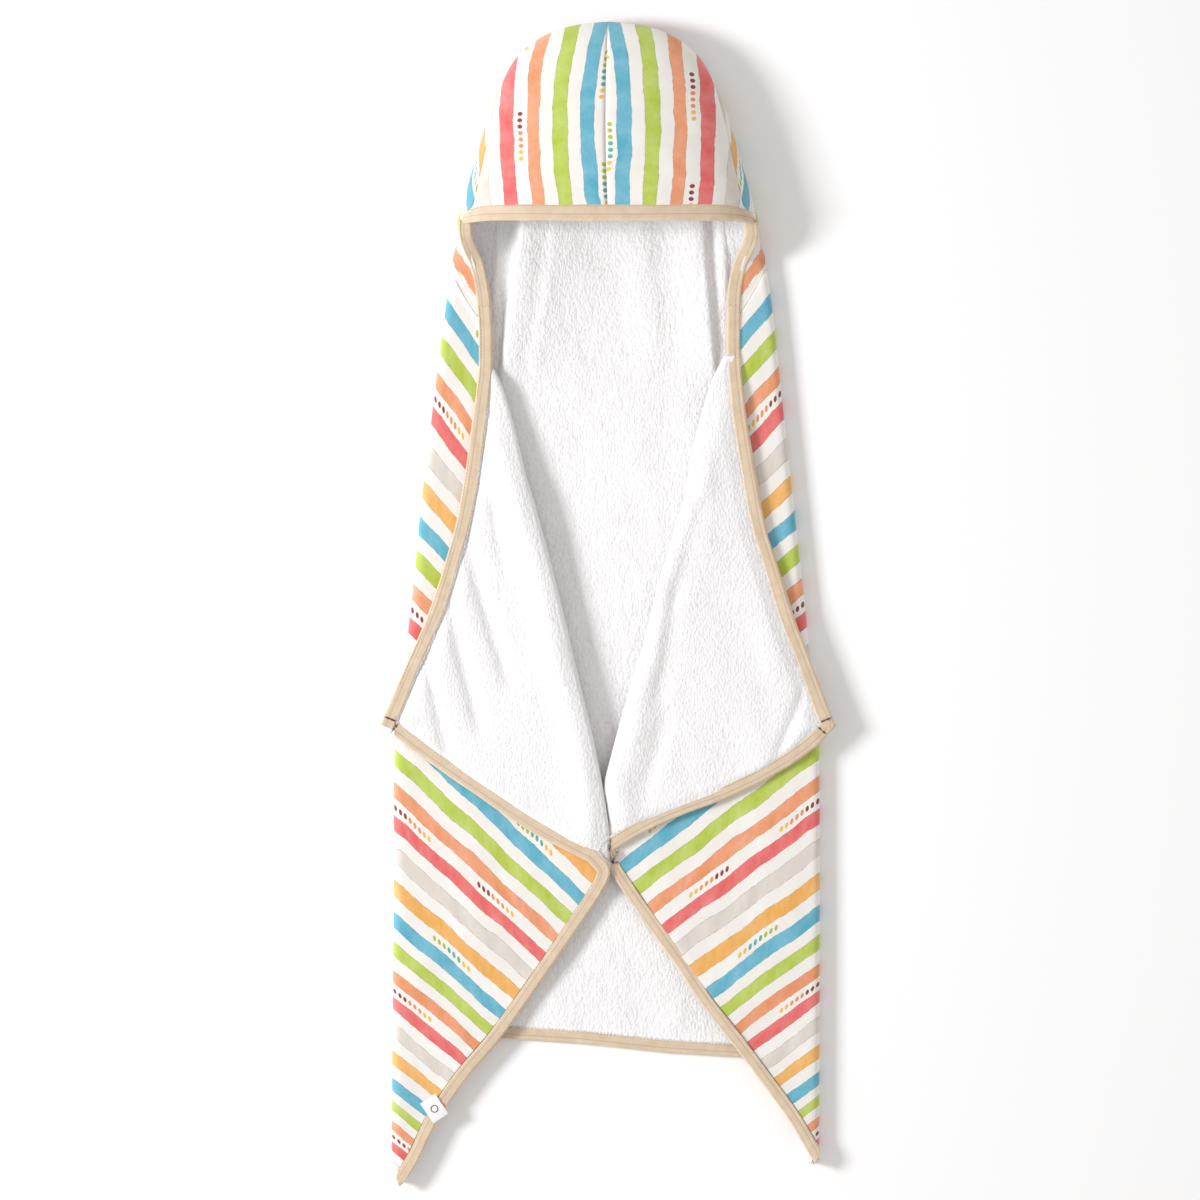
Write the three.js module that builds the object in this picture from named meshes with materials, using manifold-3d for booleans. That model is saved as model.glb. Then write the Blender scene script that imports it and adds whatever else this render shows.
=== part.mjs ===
// Hooded baby towel, laid flat on its back with both fronts folded in and their lapels turned back.
// Millimetres, +Z up, +Y towards the hood. The origin is under the middle of the object's box.
import * as THREE from 'three';
import { mergeVertices } from 'three/addons/utils/BufferGeometryUtils.js';
import Module from 'manifold-3d';

// Cloth
const SHELL_THICKNESS = 1.2;
const LINING_THICKNESS = 3.5;
const PLY_GAP = 0.3;
const CLOTH_THICKNESS = SHELL_THICKNESS + PLY_GAP + LINING_THICKNESS;
const BINDING_WIDTH = 14;
const BINDING_PROUD = 0.3;
const BRIM_BINDING_WIDTH = 17;
const CUT_OVERRUN = 20;

// Layers, by the height of each one's underside
const FLAP_BASE = 12;
const LAPEL_BASE = 18;

// Lengths along Y
const HOOD_TOP = 581;
const BRIM_Y = 383;
const BACK_TOP = 376;
const STRIP_TOP = 356;
const LAPEL_TOP = 240;
const FLAP_TOP = 234;
const FOLD_FOOT = -545;

// Side fold: the cloth turns over from the back to the flap
const FOLD_RADIUS = (FLAP_BASE + CLOTH_THICKNESS) / 2;
const FOLD_ARC_STEPS = 8;
const FOLD_STATIONS = 16;
const MOVING_GAP = 2.5;

// Hood
const HOOD_HALF_WIDTH = 150;
const HOOD_TAPER = 58;
const HOOD_EDGE_HEIGHT = 22;
const HOOD_RISE = 60;
const HOOD_SEAM_ANGLE = Math.PI * 0.157;
const HOOD_STATIONS = 12;
const HOOD_CLOSING_POWER = 8;
const HOOD_DOME_POWER = 2.6;
const HOOD_TOP_SQUARENESS = 0.83;
const HOOD_UNDERSIDE_SQUARENESS = 0.5;
const FRONT_STEPS = 7;
const BACK_STEPS = 22;
const BRIM_STEPS = 16;

// Label and bar tacks
const LABEL_SIZE = [18, 24, 0.8];
const LABEL_CENTRE = [-176, -506];
const LABEL_TURN = -0.98;
const TACK_SIZE = [1.6, 13, 0.8];
const TACK_INSET = 20;

// Outlines of the two sides, as distances from the middle and heights along Y
const SIDES = {
  left: {
    sign: -1,
    fold: [
      [150, 380], [161, 305], [174, 205], [186, 105],
      [196, 5], [204, -60], [213, -140], [213, -545],
    ],
    neck: [[136, 378], [125, 345], [118, 312], [115, 243]],
    lapelTop: [[128, 240], [135, 185], [144, 122], [161, 48], [183, -18], [227, -119]],
    lapelSide: [[227, -119], [188, -150], [138, -185], [78, -225], [1, -262]],
    roll: [
      [115, 234], [105, 214], [93, 172], [83, 130], [74, 100],
      [52, 18], [33, -62], [14, -142], [1, -215], [1, -262],
    ],
    flapEdge: [[1, -275], [71, -382], [141, -472], [188, -552], [205, -581]],
    splitTop: [140, 235],
    splitFoot: [203, -545],
  },
  right: {
    sign: 1,
    fold: [
      [150, 380], [163, 305], [174, 205], [185, 105],
      [196, 5], [203, -60], [211, -140], [211, -545],
    ],
    neck: [[140, 378], [130, 352], [120, 312], [118, 243]],
    lapelTop: [[132, 240], [139, 181], [150, 118], [165, 52], [189, -22], [227, -120]],
    lapelSide: [[227, -120], [205, -143], [172, -166], [125, -190], [55, -217], [3, -245]],
    roll: [
      [118, 234], [104, 222], [94, 188], [84, 148], [75, 100],
      [53, 27], [36, -40], [17, -103], [3, -180], [3, -245],
    ],
    flapEdge: [[3, -262], [52, -338], [122, -435], [180, -513], [204, -560]],
    splitTop: [144, 235],
    splitFoot: [201, -545],
  },
};
const HEM = [[-203, -541], [-106, -433], [135, -451], [201, -541]];
const LINE_SAMPLES = 16;
const FOLD_SAMPLES = 40;

const COLOURS = {
  print: 0xf7f1e8,
  terry: 0xfafafc,
  binding: 0xe8cfaf,
  label: 0xf4f4f4,
  thread: 0x4a4038,
};

const wasm = await Module();
wasm.setup();

function toSolid(geometry) {
  const bare = geometry.index ? geometry.toNonIndexed() : geometry.clone();
  bare.deleteAttribute('normal');
  bare.deleteAttribute('uv');
  const merged = mergeVertices(bare, 1e-4);
  return new wasm.Manifold(
    new wasm.Mesh({
      numProp: 3,
      vertProperties: new Float32Array(merged.attributes.position.array),
      triVerts: new Uint32Array(merged.index.array),
    }),
  );
}

function toGeometry(solid) {
  const mesh = solid.getMesh();
  const geometry = new THREE.BufferGeometry();
  geometry.setAttribute('position', new THREE.BufferAttribute(new Float32Array(mesh.vertProperties), 3));
  geometry.setIndex(new THREE.BufferAttribute(new Uint32Array(mesh.triVerts), 1));
  geometry.computeVertexNormals();
  return geometry;
}

function smooth(points, steps) {
  const curve = new THREE.SplineCurve(points.map(([x, y]) => new THREE.Vector2(x, y)));
  return curve.getPoints(steps).map((point) => [point.x, point.y]);
}

// Distance from the middle at height y along an outline that runs downwards
function widthAt(outline, y) {
  for (let i = 1; i < outline.length; i += 1) {
    const [x0, y0] = outline[i - 1];
    const [x1, y1] = outline[i];
    if (y <= y0 && y >= y1) {
      return x0 + ((x1 - x0) * (y0 - y)) / (y0 - y1);
    }
  }
  return y > outline[0][1] ? outline[0][0] : outline[outline.length - 1][0];
}

// A flat layer: an outline in XY with a thickness
function plate(outline, bottom, thickness) {
  const shape = new THREE.Shape(outline.map(([x, y]) => new THREE.Vector2(x, y)));
  const geometry = new THREE.ExtrudeGeometry(shape, { depth: thickness, bevelEnabled: false });
  geometry.translate(0, 0, bottom);
  return geometry;
}

// The outline of a strip beside a line, between two offsets to the line's left
function stripOutline(line, near, far) {
  const offsetLine = (distance) =>
    line.map(([x, y], i) => {
      const before = line[Math.max(i - 1, 0)];
      const after = line[Math.min(i + 1, line.length - 1)];
      const dx = after[0] - before[0];
      const dy = after[1] - before[1];
      const length = Math.hypot(dx, dy);
      return [x - (dy / length) * distance, y + (dx / length) * distance];
    });
  return [...offsetLine(near), ...offsetLine(far).reverse()];
}

// The same line, run on at both ends
function extended(line, distance) {
  const beyond = ([x0, y0], [x1, y1]) => {
    const length = Math.hypot(x1 - x0, y1 - y0);
    return [x1 + ((x1 - x0) / length) * distance, y1 + ((y1 - y0) / length) * distance];
  };
  const last = line.length - 1;
  return [beyond(line[1], line[0]), ...line.slice(1, last), beyond(line[last - 1], line[last])];
}

const mirrorTo = (sign, points) => points.map(([x, y]) => [sign * x, y]);

// Skins one closed loop of points per station into a closed body with flat ends
function loft(loops) {
  const count = loops[0].length;
  const triangles = [];
  const push = (a, b, c) => triangles.push(...a, ...b, ...c);
  for (let i = 1; i < loops.length; i += 1) {
    for (let j = 0; j < count; j += 1) {
      const k = (j + 1) % count;
      push(loops[i - 1][j], loops[i - 1][k], loops[i][k]);
      push(loops[i - 1][j], loops[i][k], loops[i][j]);
    }
  }
  const cap = (loop, flipped) => {
    const flat = loop.map(([x, , z]) => new THREE.Vector2(x, z));
    THREE.ShapeUtils.triangulateShape(flat, []).forEach(([a, b, c]) => {
      if (flipped) {
        push(loop[a], loop[c], loop[b]);
      } else {
        push(loop[a], loop[b], loop[c]);
      }
    });
  };
  const clockwise = THREE.ShapeUtils.isClockWise(loops[0].map(([x, , z]) => new THREE.Vector2(x, z)));
  cap(loops[0], !clockwise);
  cap(loops[loops.length - 1], clockwise);
  return outward(triangles);
}

// Makes a geometry from loose triangles, turned so that its faces point out
function outward(triangles) {
  const volume = (list) => {
    let total = 0;
    for (let i = 0; i < list.length; i += 9) {
      const [ax, ay, az, bx, by, bz, cx, cy, cz] = list.slice(i, i + 9);
      total += ax * (by * cz - bz * cy) + ay * (bz * cx - bx * cz) + az * (bx * cy - by * cx);
    }
    return total;
  };
  const list = [...triangles];
  if (volume(list) < 0) {
    for (let i = 0; i < list.length; i += 9) {
      const second = list.slice(i + 3, i + 6);
      for (let k = 0; k < 3; k += 1) {
        list[i + 3 + k] = list[i + 6 + k];
        list[i + 6 + k] = second[k];
      }
    }
  }
  const geometry = new THREE.BufferGeometry();
  geometry.setAttribute('position', new THREE.Float32BufferAttribute(list, 3));
  geometry.computeVertexNormals();
  return geometry;
}

// The side's outline, at the heights where the fold's sections are
function foldLine(side) {
  const fold = smooth(side.fold, FOLD_SAMPLES);
  return Array.from({ length: FOLD_STATIONS + 1 }, (_, i) => {
    const y = STRIP_TOP + ((FOLD_FOOT - STRIP_TOP) * i) / FOLD_STATIONS;
    return [widthAt(fold, y), y];
  });
}

// One ply of the side fold: a half round from the back's level up to the flap's, then a flat strip
function foldPly(side, inset, thickness) {
  const neck = smooth(side.neck, LINE_SAMPLES);
  const loops = foldLine(side).map(([width, y]) => {
    const centre = width - FOLD_RADIUS;
    const split = widthAt([side.splitTop, side.splitFoot], y);
    const end = y > LAPEL_TOP ? widthAt(neck, y) : split;
    const arc = (radius) =>
      Array.from({ length: FOLD_ARC_STEPS + 1 }, (_, k) => {
        const angle = -Math.PI / 2 + (Math.PI * k) / FOLD_ARC_STEPS;
        return [centre + radius * Math.cos(angle), FOLD_RADIUS + radius * Math.sin(angle)];
      });
    const outer = arc(FOLD_RADIUS - inset);
    const inner = arc(FOLD_RADIUS - inset - thickness).reverse();
    const tip = Math.min(end, centre - 1);
    const section = [
      ...outer,
      [tip, 2 * FOLD_RADIUS - inset],
      [tip, 2 * FOLD_RADIUS - inset - thickness],
      ...inner,
    ];
    return section.map(([x, z]) => [side.sign * x, y, z]);
  });
  return loft(loops);
}

// A point of the hood: angle goes round from one side over the top, along runs from brim to tip
function hoodPoint(angle, along, inset) {
  const closing = Math.sqrt(Math.max(0, 1 - along ** HOOD_CLOSING_POWER));
  const dome = Math.sqrt(Math.max(0, 1 - along ** HOOD_DOME_POWER));
  const width = (HOOD_HALF_WIDTH - inset - HOOD_TAPER * along) * closing;
  const cosine = Math.cos(angle);
  const sine = Math.sin(angle);
  const power = sine >= 0 ? HOOD_TOP_SQUARENESS : HOOD_UNDERSIDE_SQUARENESS;
  const x = width * Math.sign(cosine) * Math.abs(cosine) ** power;
  const height = sine >= 0 ? (HOOD_RISE - inset) * dome : (HOOD_EDGE_HEIGHT - inset) * closing;
  const z = HOOD_EDGE_HEIGHT + Math.sign(sine) * height * Math.abs(sine) ** power;
  return [x, BRIM_Y + along * (HOOD_TOP - BRIM_Y - inset), z];
}

// A curved ply of the hood between two angles, from a start along Y to an end
function hoodPly(fromAngle, toAngle, fromAlong, toAlong, inset, thickness, steps, stations) {
  const grid = (depth) =>
    Array.from({ length: stations + 1 }, (_, i) =>
      Array.from({ length: steps + 1 }, (__, j) => {
        const angle = fromAngle + ((toAngle - fromAngle) * j) / steps;
        const along = fromAlong + ((toAlong - fromAlong) * i) / stations;
        const poleX = i === stations && toAlong === 1;
        return hoodPoint(poleX ? Math.PI / 2 : angle, along, depth);
      }),
    );
  const outer = grid(inset);
  const inner = grid(inset + thickness);
  const triangles = [];
  const same = (p, q) => Math.hypot(p[0] - q[0], p[1] - q[1], p[2] - q[2]) < 1e-6;
  const push = (a, b, c) => {
    if (!same(a, b) && !same(b, c) && !same(a, c)) {
      triangles.push(...a, ...b, ...c);
    }
  };
  const quad = (a, b, c, d) => {
    push(a, b, c);
    push(a, c, d);
  };
  for (let i = 0; i < stations; i += 1) {
    for (let j = 0; j < steps; j += 1) {
      quad(outer[i][j], outer[i][j + 1], outer[i + 1][j + 1], outer[i + 1][j]);
      quad(inner[i][j], inner[i + 1][j], inner[i + 1][j + 1], inner[i][j + 1]);
    }
    quad(outer[i][0], outer[i + 1][0], inner[i + 1][0], inner[i][0]);
    quad(outer[i][steps], inner[i][steps], inner[i + 1][steps], outer[i + 1][steps]);
  }
  for (let j = 0; j < steps; j += 1) {
    quad(outer[0][j], inner[0][j], inner[0][j + 1], outer[0][j + 1]);
    quad(outer[stations][j], outer[stations][j + 1], inner[stations][j + 1], inner[stations][j]);
  }
  return outward(triangles);
}

const towel = new THREE.Group();

function addPiece(name, geometry, colour, roughness = 0.95) {
  const material = new THREE.MeshStandardMaterial({ color: COLOURS[colour], roughness, metalness: 0 });
  const mesh = new THREE.Mesh(geometry, material);
  mesh.name = name;
  towel.add(mesh);
}

// A layer of cloth: its outline with the room for the bindings cut from its edges
function cutPlate(outline, bottom, thickness, cutters) {
  let solid = toSolid(plate(outline, bottom, thickness));
  cutters.forEach((strip) => {
    solid = solid.subtract(toSolid(plate(strip, bottom - 1, thickness + 2)));
  });
  return toGeometry(solid);
}

function addTwoPlies(prefix, outline, base, shellOnTop, cutters) {
  const liningBase = shellOnTop ? base : base + SHELL_THICKNESS + PLY_GAP;
  const shellBase = shellOnTop ? base + LINING_THICKNESS + PLY_GAP : base;
  addPiece(`${prefix}_shell`, cutPlate(outline, shellBase, SHELL_THICKNESS, cutters), 'print');
  addPiece(`${prefix}_lining`, cutPlate(outline, liningBase, LINING_THICKNESS, cutters), 'terry');
}

const bindingBar = (strip, base) => plate(strip, base - BINDING_PROUD, CLOTH_THICKNESS + 2 * BINDING_PROUD);

function addSide(name, side) {
  const { sign } = side;
  const place = (points) => mirrorTo(sign, points);
  const inwards = sign;

  const neckLine = smooth(side.neck, LINE_SAMPLES);
  const neckStart = [widthAt(neckLine, STRIP_TOP), STRIP_TOP];
  const neck = place([neckStart, ...neckLine.filter(([, y]) => y < STRIP_TOP)]);
  const cutDepth = BINDING_WIDTH + PLY_GAP;
  const longNeck = extended(neck, CUT_OVERRUN);
  const neckRange = stripOutline(longNeck, -inwards * CUT_OVERRUN, inwards * cutDepth);
  const neckRoom = toSolid(plate(neckRange, FLAP_BASE - 1, CLOTH_THICKNESS + 2));
  const foldShell = toSolid(foldPly(side, 0, SHELL_THICKNESS));
  const foldLining = toSolid(foldPly(side, SHELL_THICKNESS + PLY_GAP, LINING_THICKNESS));
  const splitRange = place([
    [side.splitTop[0] + MOVING_GAP / 2, FLAP_TOP + MOVING_GAP],
    [0, FLAP_TOP + MOVING_GAP],
    [0, FOLD_FOOT - CUT_OVERRUN],
    [side.splitFoot[0] + MOVING_GAP / 2, FOLD_FOOT - CUT_OVERRUN],
  ]);
  const cutters = neckRoom.add(toSolid(plate(splitRange, FLAP_BASE - 1, CLOTH_THICKNESS + 2)));
  addPiece(`${name}_fold_shell`, toGeometry(foldShell.subtract(cutters)), 'print');
  addPiece(`${name}_fold_lining`, toGeometry(foldLining.subtract(cutters)), 'terry');
  const neckBar = bindingBar(stripOutline(neck, 0, inwards * BINDING_WIDTH), FLAP_BASE);
  addPiece(`${name}_neck_binding`, neckBar, 'binding');

  // Flap: from the split beside the fold to the roll line and the flap's free edge
  const roll = smooth(side.roll, 2 * LINE_SAMPLES);
  const freeEdge = smooth(side.flapEdge, LINE_SAMPLES);
  const splitX = widthAt([side.splitTop, side.splitFoot], FLAP_TOP) - MOVING_GAP / 2;
  const rollBelow = roll.filter(([, y]) => y < FLAP_TOP - 1);
  const footX = side.splitFoot[0] - MOVING_GAP / 2;
  const flapOutline = place([
    [splitX, FLAP_TOP],
    [widthAt(roll, FLAP_TOP), FLAP_TOP],
    ...rollBelow,
    ...freeEdge,
    [footX, FOLD_FOOT],
  ]);
  const flapEdge = place(freeEdge);
  const flapCut = stripOutline(extended(flapEdge, CUT_OVERRUN), -inwards, inwards * cutDepth);
  addTwoPlies(`${name}_flap`, flapOutline, FLAP_BASE, true, [flapCut]);
  const flapStrip = stripOutline(flapEdge, 0, inwards * BINDING_WIDTH);
  const flapBar = toSolid(bindingBar(flapStrip, FLAP_BASE));
  const flapRoom = toSolid(plate(flapOutline, 0, LAPEL_BASE));
  addPiece(`${name}_flap_binding`, toGeometry(flapBar.intersect(flapRoom)), 'binding');

  // Lapel: turned back over the flap, with bindings on its two free edges
  const top = smooth(side.lapelTop, LINE_SAMPLES);
  const low = smooth(side.lapelSide, LINE_SAMPLES);
  const lapelOutline = place([...top, ...low.slice(1), ...roll.slice(0, -1).reverse()]);
  const topLine = extended(place(top), CUT_OVERRUN);
  const lowLine = extended(place(low), CUT_OVERRUN);
  const topStrip = (near, far) => stripOutline(topLine, -inwards * near, -inwards * far);
  const lowStrip = (near, far) => stripOutline(lowLine, -inwards * near, -inwards * far);
  const lapelCuts = [topStrip(-1, cutDepth), lowStrip(-1, cutDepth)];
  addTwoPlies(`${name}_lapel`, lapelOutline, LAPEL_BASE, false, lapelCuts);
  const lapelRoom = toSolid(plate(lapelOutline, LAPEL_BASE - 2, CLOTH_THICKNESS + 4));
  const topBar = toSolid(bindingBar(topStrip(0, BINDING_WIDTH), LAPEL_BASE)).intersect(lapelRoom);
  const lowBar = toSolid(bindingBar(lowStrip(0, BINDING_WIDTH), LAPEL_BASE)).intersect(lapelRoom);
  const lowRoom = toSolid(plate(lowStrip(-1, cutDepth), LAPEL_BASE - 2, CLOTH_THICKNESS + 4));
  addPiece(`${name}_lapel_top_binding`, toGeometry(topBar.subtract(lowRoom)), 'binding');
  addPiece(`${name}_lapel_side_binding`, toGeometry(lowBar), 'binding');

  // Bar tack across the lapel's lower binding, near its corner
  const corner = side.lapelSide[0];
  const next = side.lapelSide[1];
  const slope = Math.atan2(next[1] - corner[1], sign * (next[0] - corner[0]));
  const tack = new THREE.BoxGeometry(...TACK_SIZE);
  tack.rotateZ(slope);
  const run = Math.hypot(next[0] - corner[0], next[1] - corner[1]);
  const share = TACK_INSET / run;
  const tackHeight = LAPEL_BASE + CLOTH_THICKNESS + BINDING_PROUD + PLY_GAP + TACK_SIZE[2] / 2;
  const tackX = sign * (corner[0] + (next[0] - corner[0]) * share);
  const tackY = corner[1] + (next[1] - corner[1]) * share + BINDING_WIDTH / 2;
  tack.translate(tackX, tackY, tackHeight);
  addPiece(`${name}_corner_tack`, tack, 'thread');
}

function addBack() {
  const inset = FOLD_RADIUS + PLY_GAP;
  const edge = (side) => {
    const corner = [widthAt(smooth(side.fold, FOLD_SAMPLES), BACK_TOP), BACK_TOP];
    return [corner, ...foldLine(side)].map(([x, y]) => [side.sign * (x - inset), y]);
  };
  const leftEdge = edge(SIDES.left);
  const rightEdge = edge(SIDES.right);
  const outline = [...leftEdge, ...HEM.slice(1, -1), ...rightEdge.toReversed()];
  const below = FOLD_FOOT - 2 * CUT_OVERRUN;
  const ends = [leftEdge, rightEdge].map((line) => [line[line.length - 1][0], below]);
  const room = plate([...leftEdge, ...ends, ...rightEdge.toReversed()], -1, FOLD_RADIUS);
  const cut = stripOutline(extended(HEM, CUT_OVERRUN), -CUT_OVERRUN, BINDING_WIDTH + PLY_GAP);
  addTwoPlies('back', outline, 0, false, [cut]);
  const hem = plate(stripOutline(HEM, 0, BINDING_WIDTH), 0, CLOTH_THICKNESS + BINDING_PROUD);
  addPiece('hem_binding', toGeometry(toSolid(hem).intersect(toSolid(room))), 'binding');
}

function addHood() {
  const seam = HOOD_SEAM_ANGLE;
  const brim = BRIM_BINDING_WIDTH / (HOOD_TOP - BRIM_Y);
  const gapAlong = PLY_GAP / 100;
  const liningInset = SHELL_THICKNESS + PLY_GAP;
  const halves = [
    ['right', seam, Math.PI / 2, 1],
    ['left', Math.PI / 2, Math.PI - seam, -1],
  ];
  halves.forEach(([name, from, to, sign]) => {
    const plies = [
      ['shell', 0, SHELL_THICKNESS, 'print'],
      ['lining', liningInset, LINING_THICKNESS, 'terry'],
    ];
    plies.forEach(([ply, inset, thickness, colour]) => {
      const geometry = hoodPly(from, to, brim + gapAlong, 1, inset, thickness, FRONT_STEPS, HOOD_STATIONS);
      geometry.translate((sign * PLY_GAP) / 2, 0, PLY_GAP);
      addPiece(`hood_front_${ply}_${name}`, geometry, colour);
    });
  });
  const backFrom = Math.PI - seam;
  const backTo = 2 * Math.PI + seam;
  const backShell = hoodPly(backFrom, backTo, 0, 1, 0, SHELL_THICKNESS, BACK_STEPS, HOOD_STATIONS);
  addPiece('hood_back_shell', backShell, 'print');
  const liningFrom = [backFrom, backTo, 0, 1, liningInset, LINING_THICKNESS];
  const backLining = hoodPly(...liningFrom, BACK_STEPS, HOOD_STATIONS);
  addPiece('hood_back_lining', backLining, 'terry');
  const brimPly = hoodPly(seam, Math.PI - seam, 0, brim, 0, CLOTH_THICKNESS, BRIM_STEPS, 2);
  brimPly.translate(0, 0, PLY_GAP);
  addPiece('brim_binding', brimPly, 'binding');
}

function addLabel() {
  const label = new THREE.BoxGeometry(...LABEL_SIZE);
  label.rotateZ(LABEL_TURN);
  const height = FLAP_BASE + CLOTH_THICKNESS + BINDING_PROUD + PLY_GAP + LABEL_SIZE[2] / 2;
  label.translate(LABEL_CENTRE[0], LABEL_CENTRE[1], height);
  addPiece('woven_label', label, 'label', 0.7);
}

addBack();
Object.entries(SIDES).forEach(([name, side]) => addSide(name, side));
addHood();
addLabel();

export default towel;
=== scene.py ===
"""Hooded baby towel: the cloth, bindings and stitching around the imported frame, in metres."""

import math
from collections import namedtuple

import bpy
import numpy as np
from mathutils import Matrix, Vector


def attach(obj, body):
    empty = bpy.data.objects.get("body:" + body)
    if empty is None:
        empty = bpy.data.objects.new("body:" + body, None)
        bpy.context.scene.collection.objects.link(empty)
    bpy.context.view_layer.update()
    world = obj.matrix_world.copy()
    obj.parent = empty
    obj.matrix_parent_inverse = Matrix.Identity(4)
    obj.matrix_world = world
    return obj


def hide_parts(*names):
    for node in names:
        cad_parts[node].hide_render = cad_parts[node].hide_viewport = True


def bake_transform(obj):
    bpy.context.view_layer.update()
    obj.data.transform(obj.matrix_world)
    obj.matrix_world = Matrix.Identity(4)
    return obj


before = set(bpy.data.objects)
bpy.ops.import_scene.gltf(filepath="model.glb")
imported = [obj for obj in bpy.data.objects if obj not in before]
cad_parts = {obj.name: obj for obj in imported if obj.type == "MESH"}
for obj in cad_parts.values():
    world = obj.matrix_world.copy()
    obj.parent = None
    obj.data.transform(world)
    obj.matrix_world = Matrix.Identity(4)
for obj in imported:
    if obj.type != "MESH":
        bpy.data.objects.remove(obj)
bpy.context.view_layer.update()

MM = 0.001

# Cloth, in millimetres
SHELL_THICKNESS = 1.1
TERRY_THICKNESS = 2.6
BINDING_WIDTH = 14
FLAP_BINDING_WIDTH = 12.5
HEM_WIDTH = 13
HEM_HALF_LENGTH = 196
HEM_THREAD_HALF_LENGTH = 184
BRIM_WIDTH = 16.5
BINDING_HALF_THICKNESS = 2.9
FOLD_HEIGHT = 16.4
FLAP_TERRY_HEIGHT = 13.4
LAPEL_SHELL_HEIGHT = 18.6
LAPEL_TERRY_HEIGHT = 21.2
ROW_STEP = 3.0
EDGE_GAP = 7
MIDDLE_GAP = 2.6
NECK_FOOT_Y = 238
BACK_TOP_Y = 446
THREAD_SIZE = 1.0
LAPEL_ROLL_FOOT = 14.2
LAPEL_ROLL_REACH = 4.6
TERRY_DIP_BY_BINDING = 1.6

# Lengthways ribs of a binding, in millimetres
RIB_HEIGHT = 0.55
RIB_SPACING = 5.2
RIB_SWAY = 1.6
PUCKER_HEIGHT = 0.16

# Bar tacks: the outline they cross, whether they are at its end, and how far from there
TACKS = (("lapel_side", False, 13), ("lapel_top", True, 9))
TACK_ZIGZAGS = 40
TACK_SWING = 0.6

# Folded label, in millimetres and degrees
LABEL_CENTRE = (-173.0, -502.0)
LABEL_LEAN = -56
LABEL_WIDTH = 18
LABEL_LENGTH = 24
LABEL_HEIGHT = 19.2
RING_RADIUS = 3.4
RING_HEIGHT = 20.95

# Studio, in metres and watts: each lamp's place, size and power
LAMPS = {"key": ((-2.9, 0.3, 2.1), 0.9, 112), "fill": ((1.8, -0.8, 2.8), 2.2, 7)}
LAMP_COLOUR = (0.98, 1.0, 1.03)
WORLD_COLOUR = (1.0, 0.972, 0.95, 1)
WORLD_STRENGTH = 0.64
CAMERA_PLACE = (-0.008, 0.005, 6.0)
WIDTH_SEEN = 1.2

# Stitching, in millimetres across from a binding's middle line and above it
NECK_STITCH = 5.4
SIDE_STITCH = 4.6
STITCH_HEIGHT = 2.7

# Rings of a stitch and of a tuft of pile: share of the length, share of the radius
SPINDLE = ((-0.5, 0.35), (-0.2, 1.0), (0.2, 1.0), (0.5, 0.35))
TUFT = ((0.0, 1.0), (0.5, 0.85), (1.0, 0.3))

# Hood, in millimetres
BRIM_Y = 383
HOOD_TOP = 581
HOOD_HALF_WIDTH = 150
HOOD_TAPER = 58
HOOD_EDGE_HEIGHT = 22
HOOD_RISE = 60
HOOD_ROUNDNESS = 0.83
HOOD_PITCH = 27.3
HOOD_BACK_SLOPE = 1.36
HOOD_BACK_STRIPES = (396, 354)
HOOD_BACK_PITCH = 36.0
FRONT_SHARE = 0.915
FRONT_SHARE_AT_BRIM = 0.973
NECK_SEAM_Y = 311
SEAM_MIDDLE_X = 145
SEAM_SLOPE = 1.5
SEAM_REACH = 23
HOOD_MORPH_START = 340
CUFF_RISE = 22
CUFF_REACH = 30
SEAM_CENTRE_X = -2.5

# Where the stretch in which a front turns about its joint begins, and how far inside that line it ends
RAMP_LINE = [(119, 296), (212, -560)]
RAMP_LENGTH = 96

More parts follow.
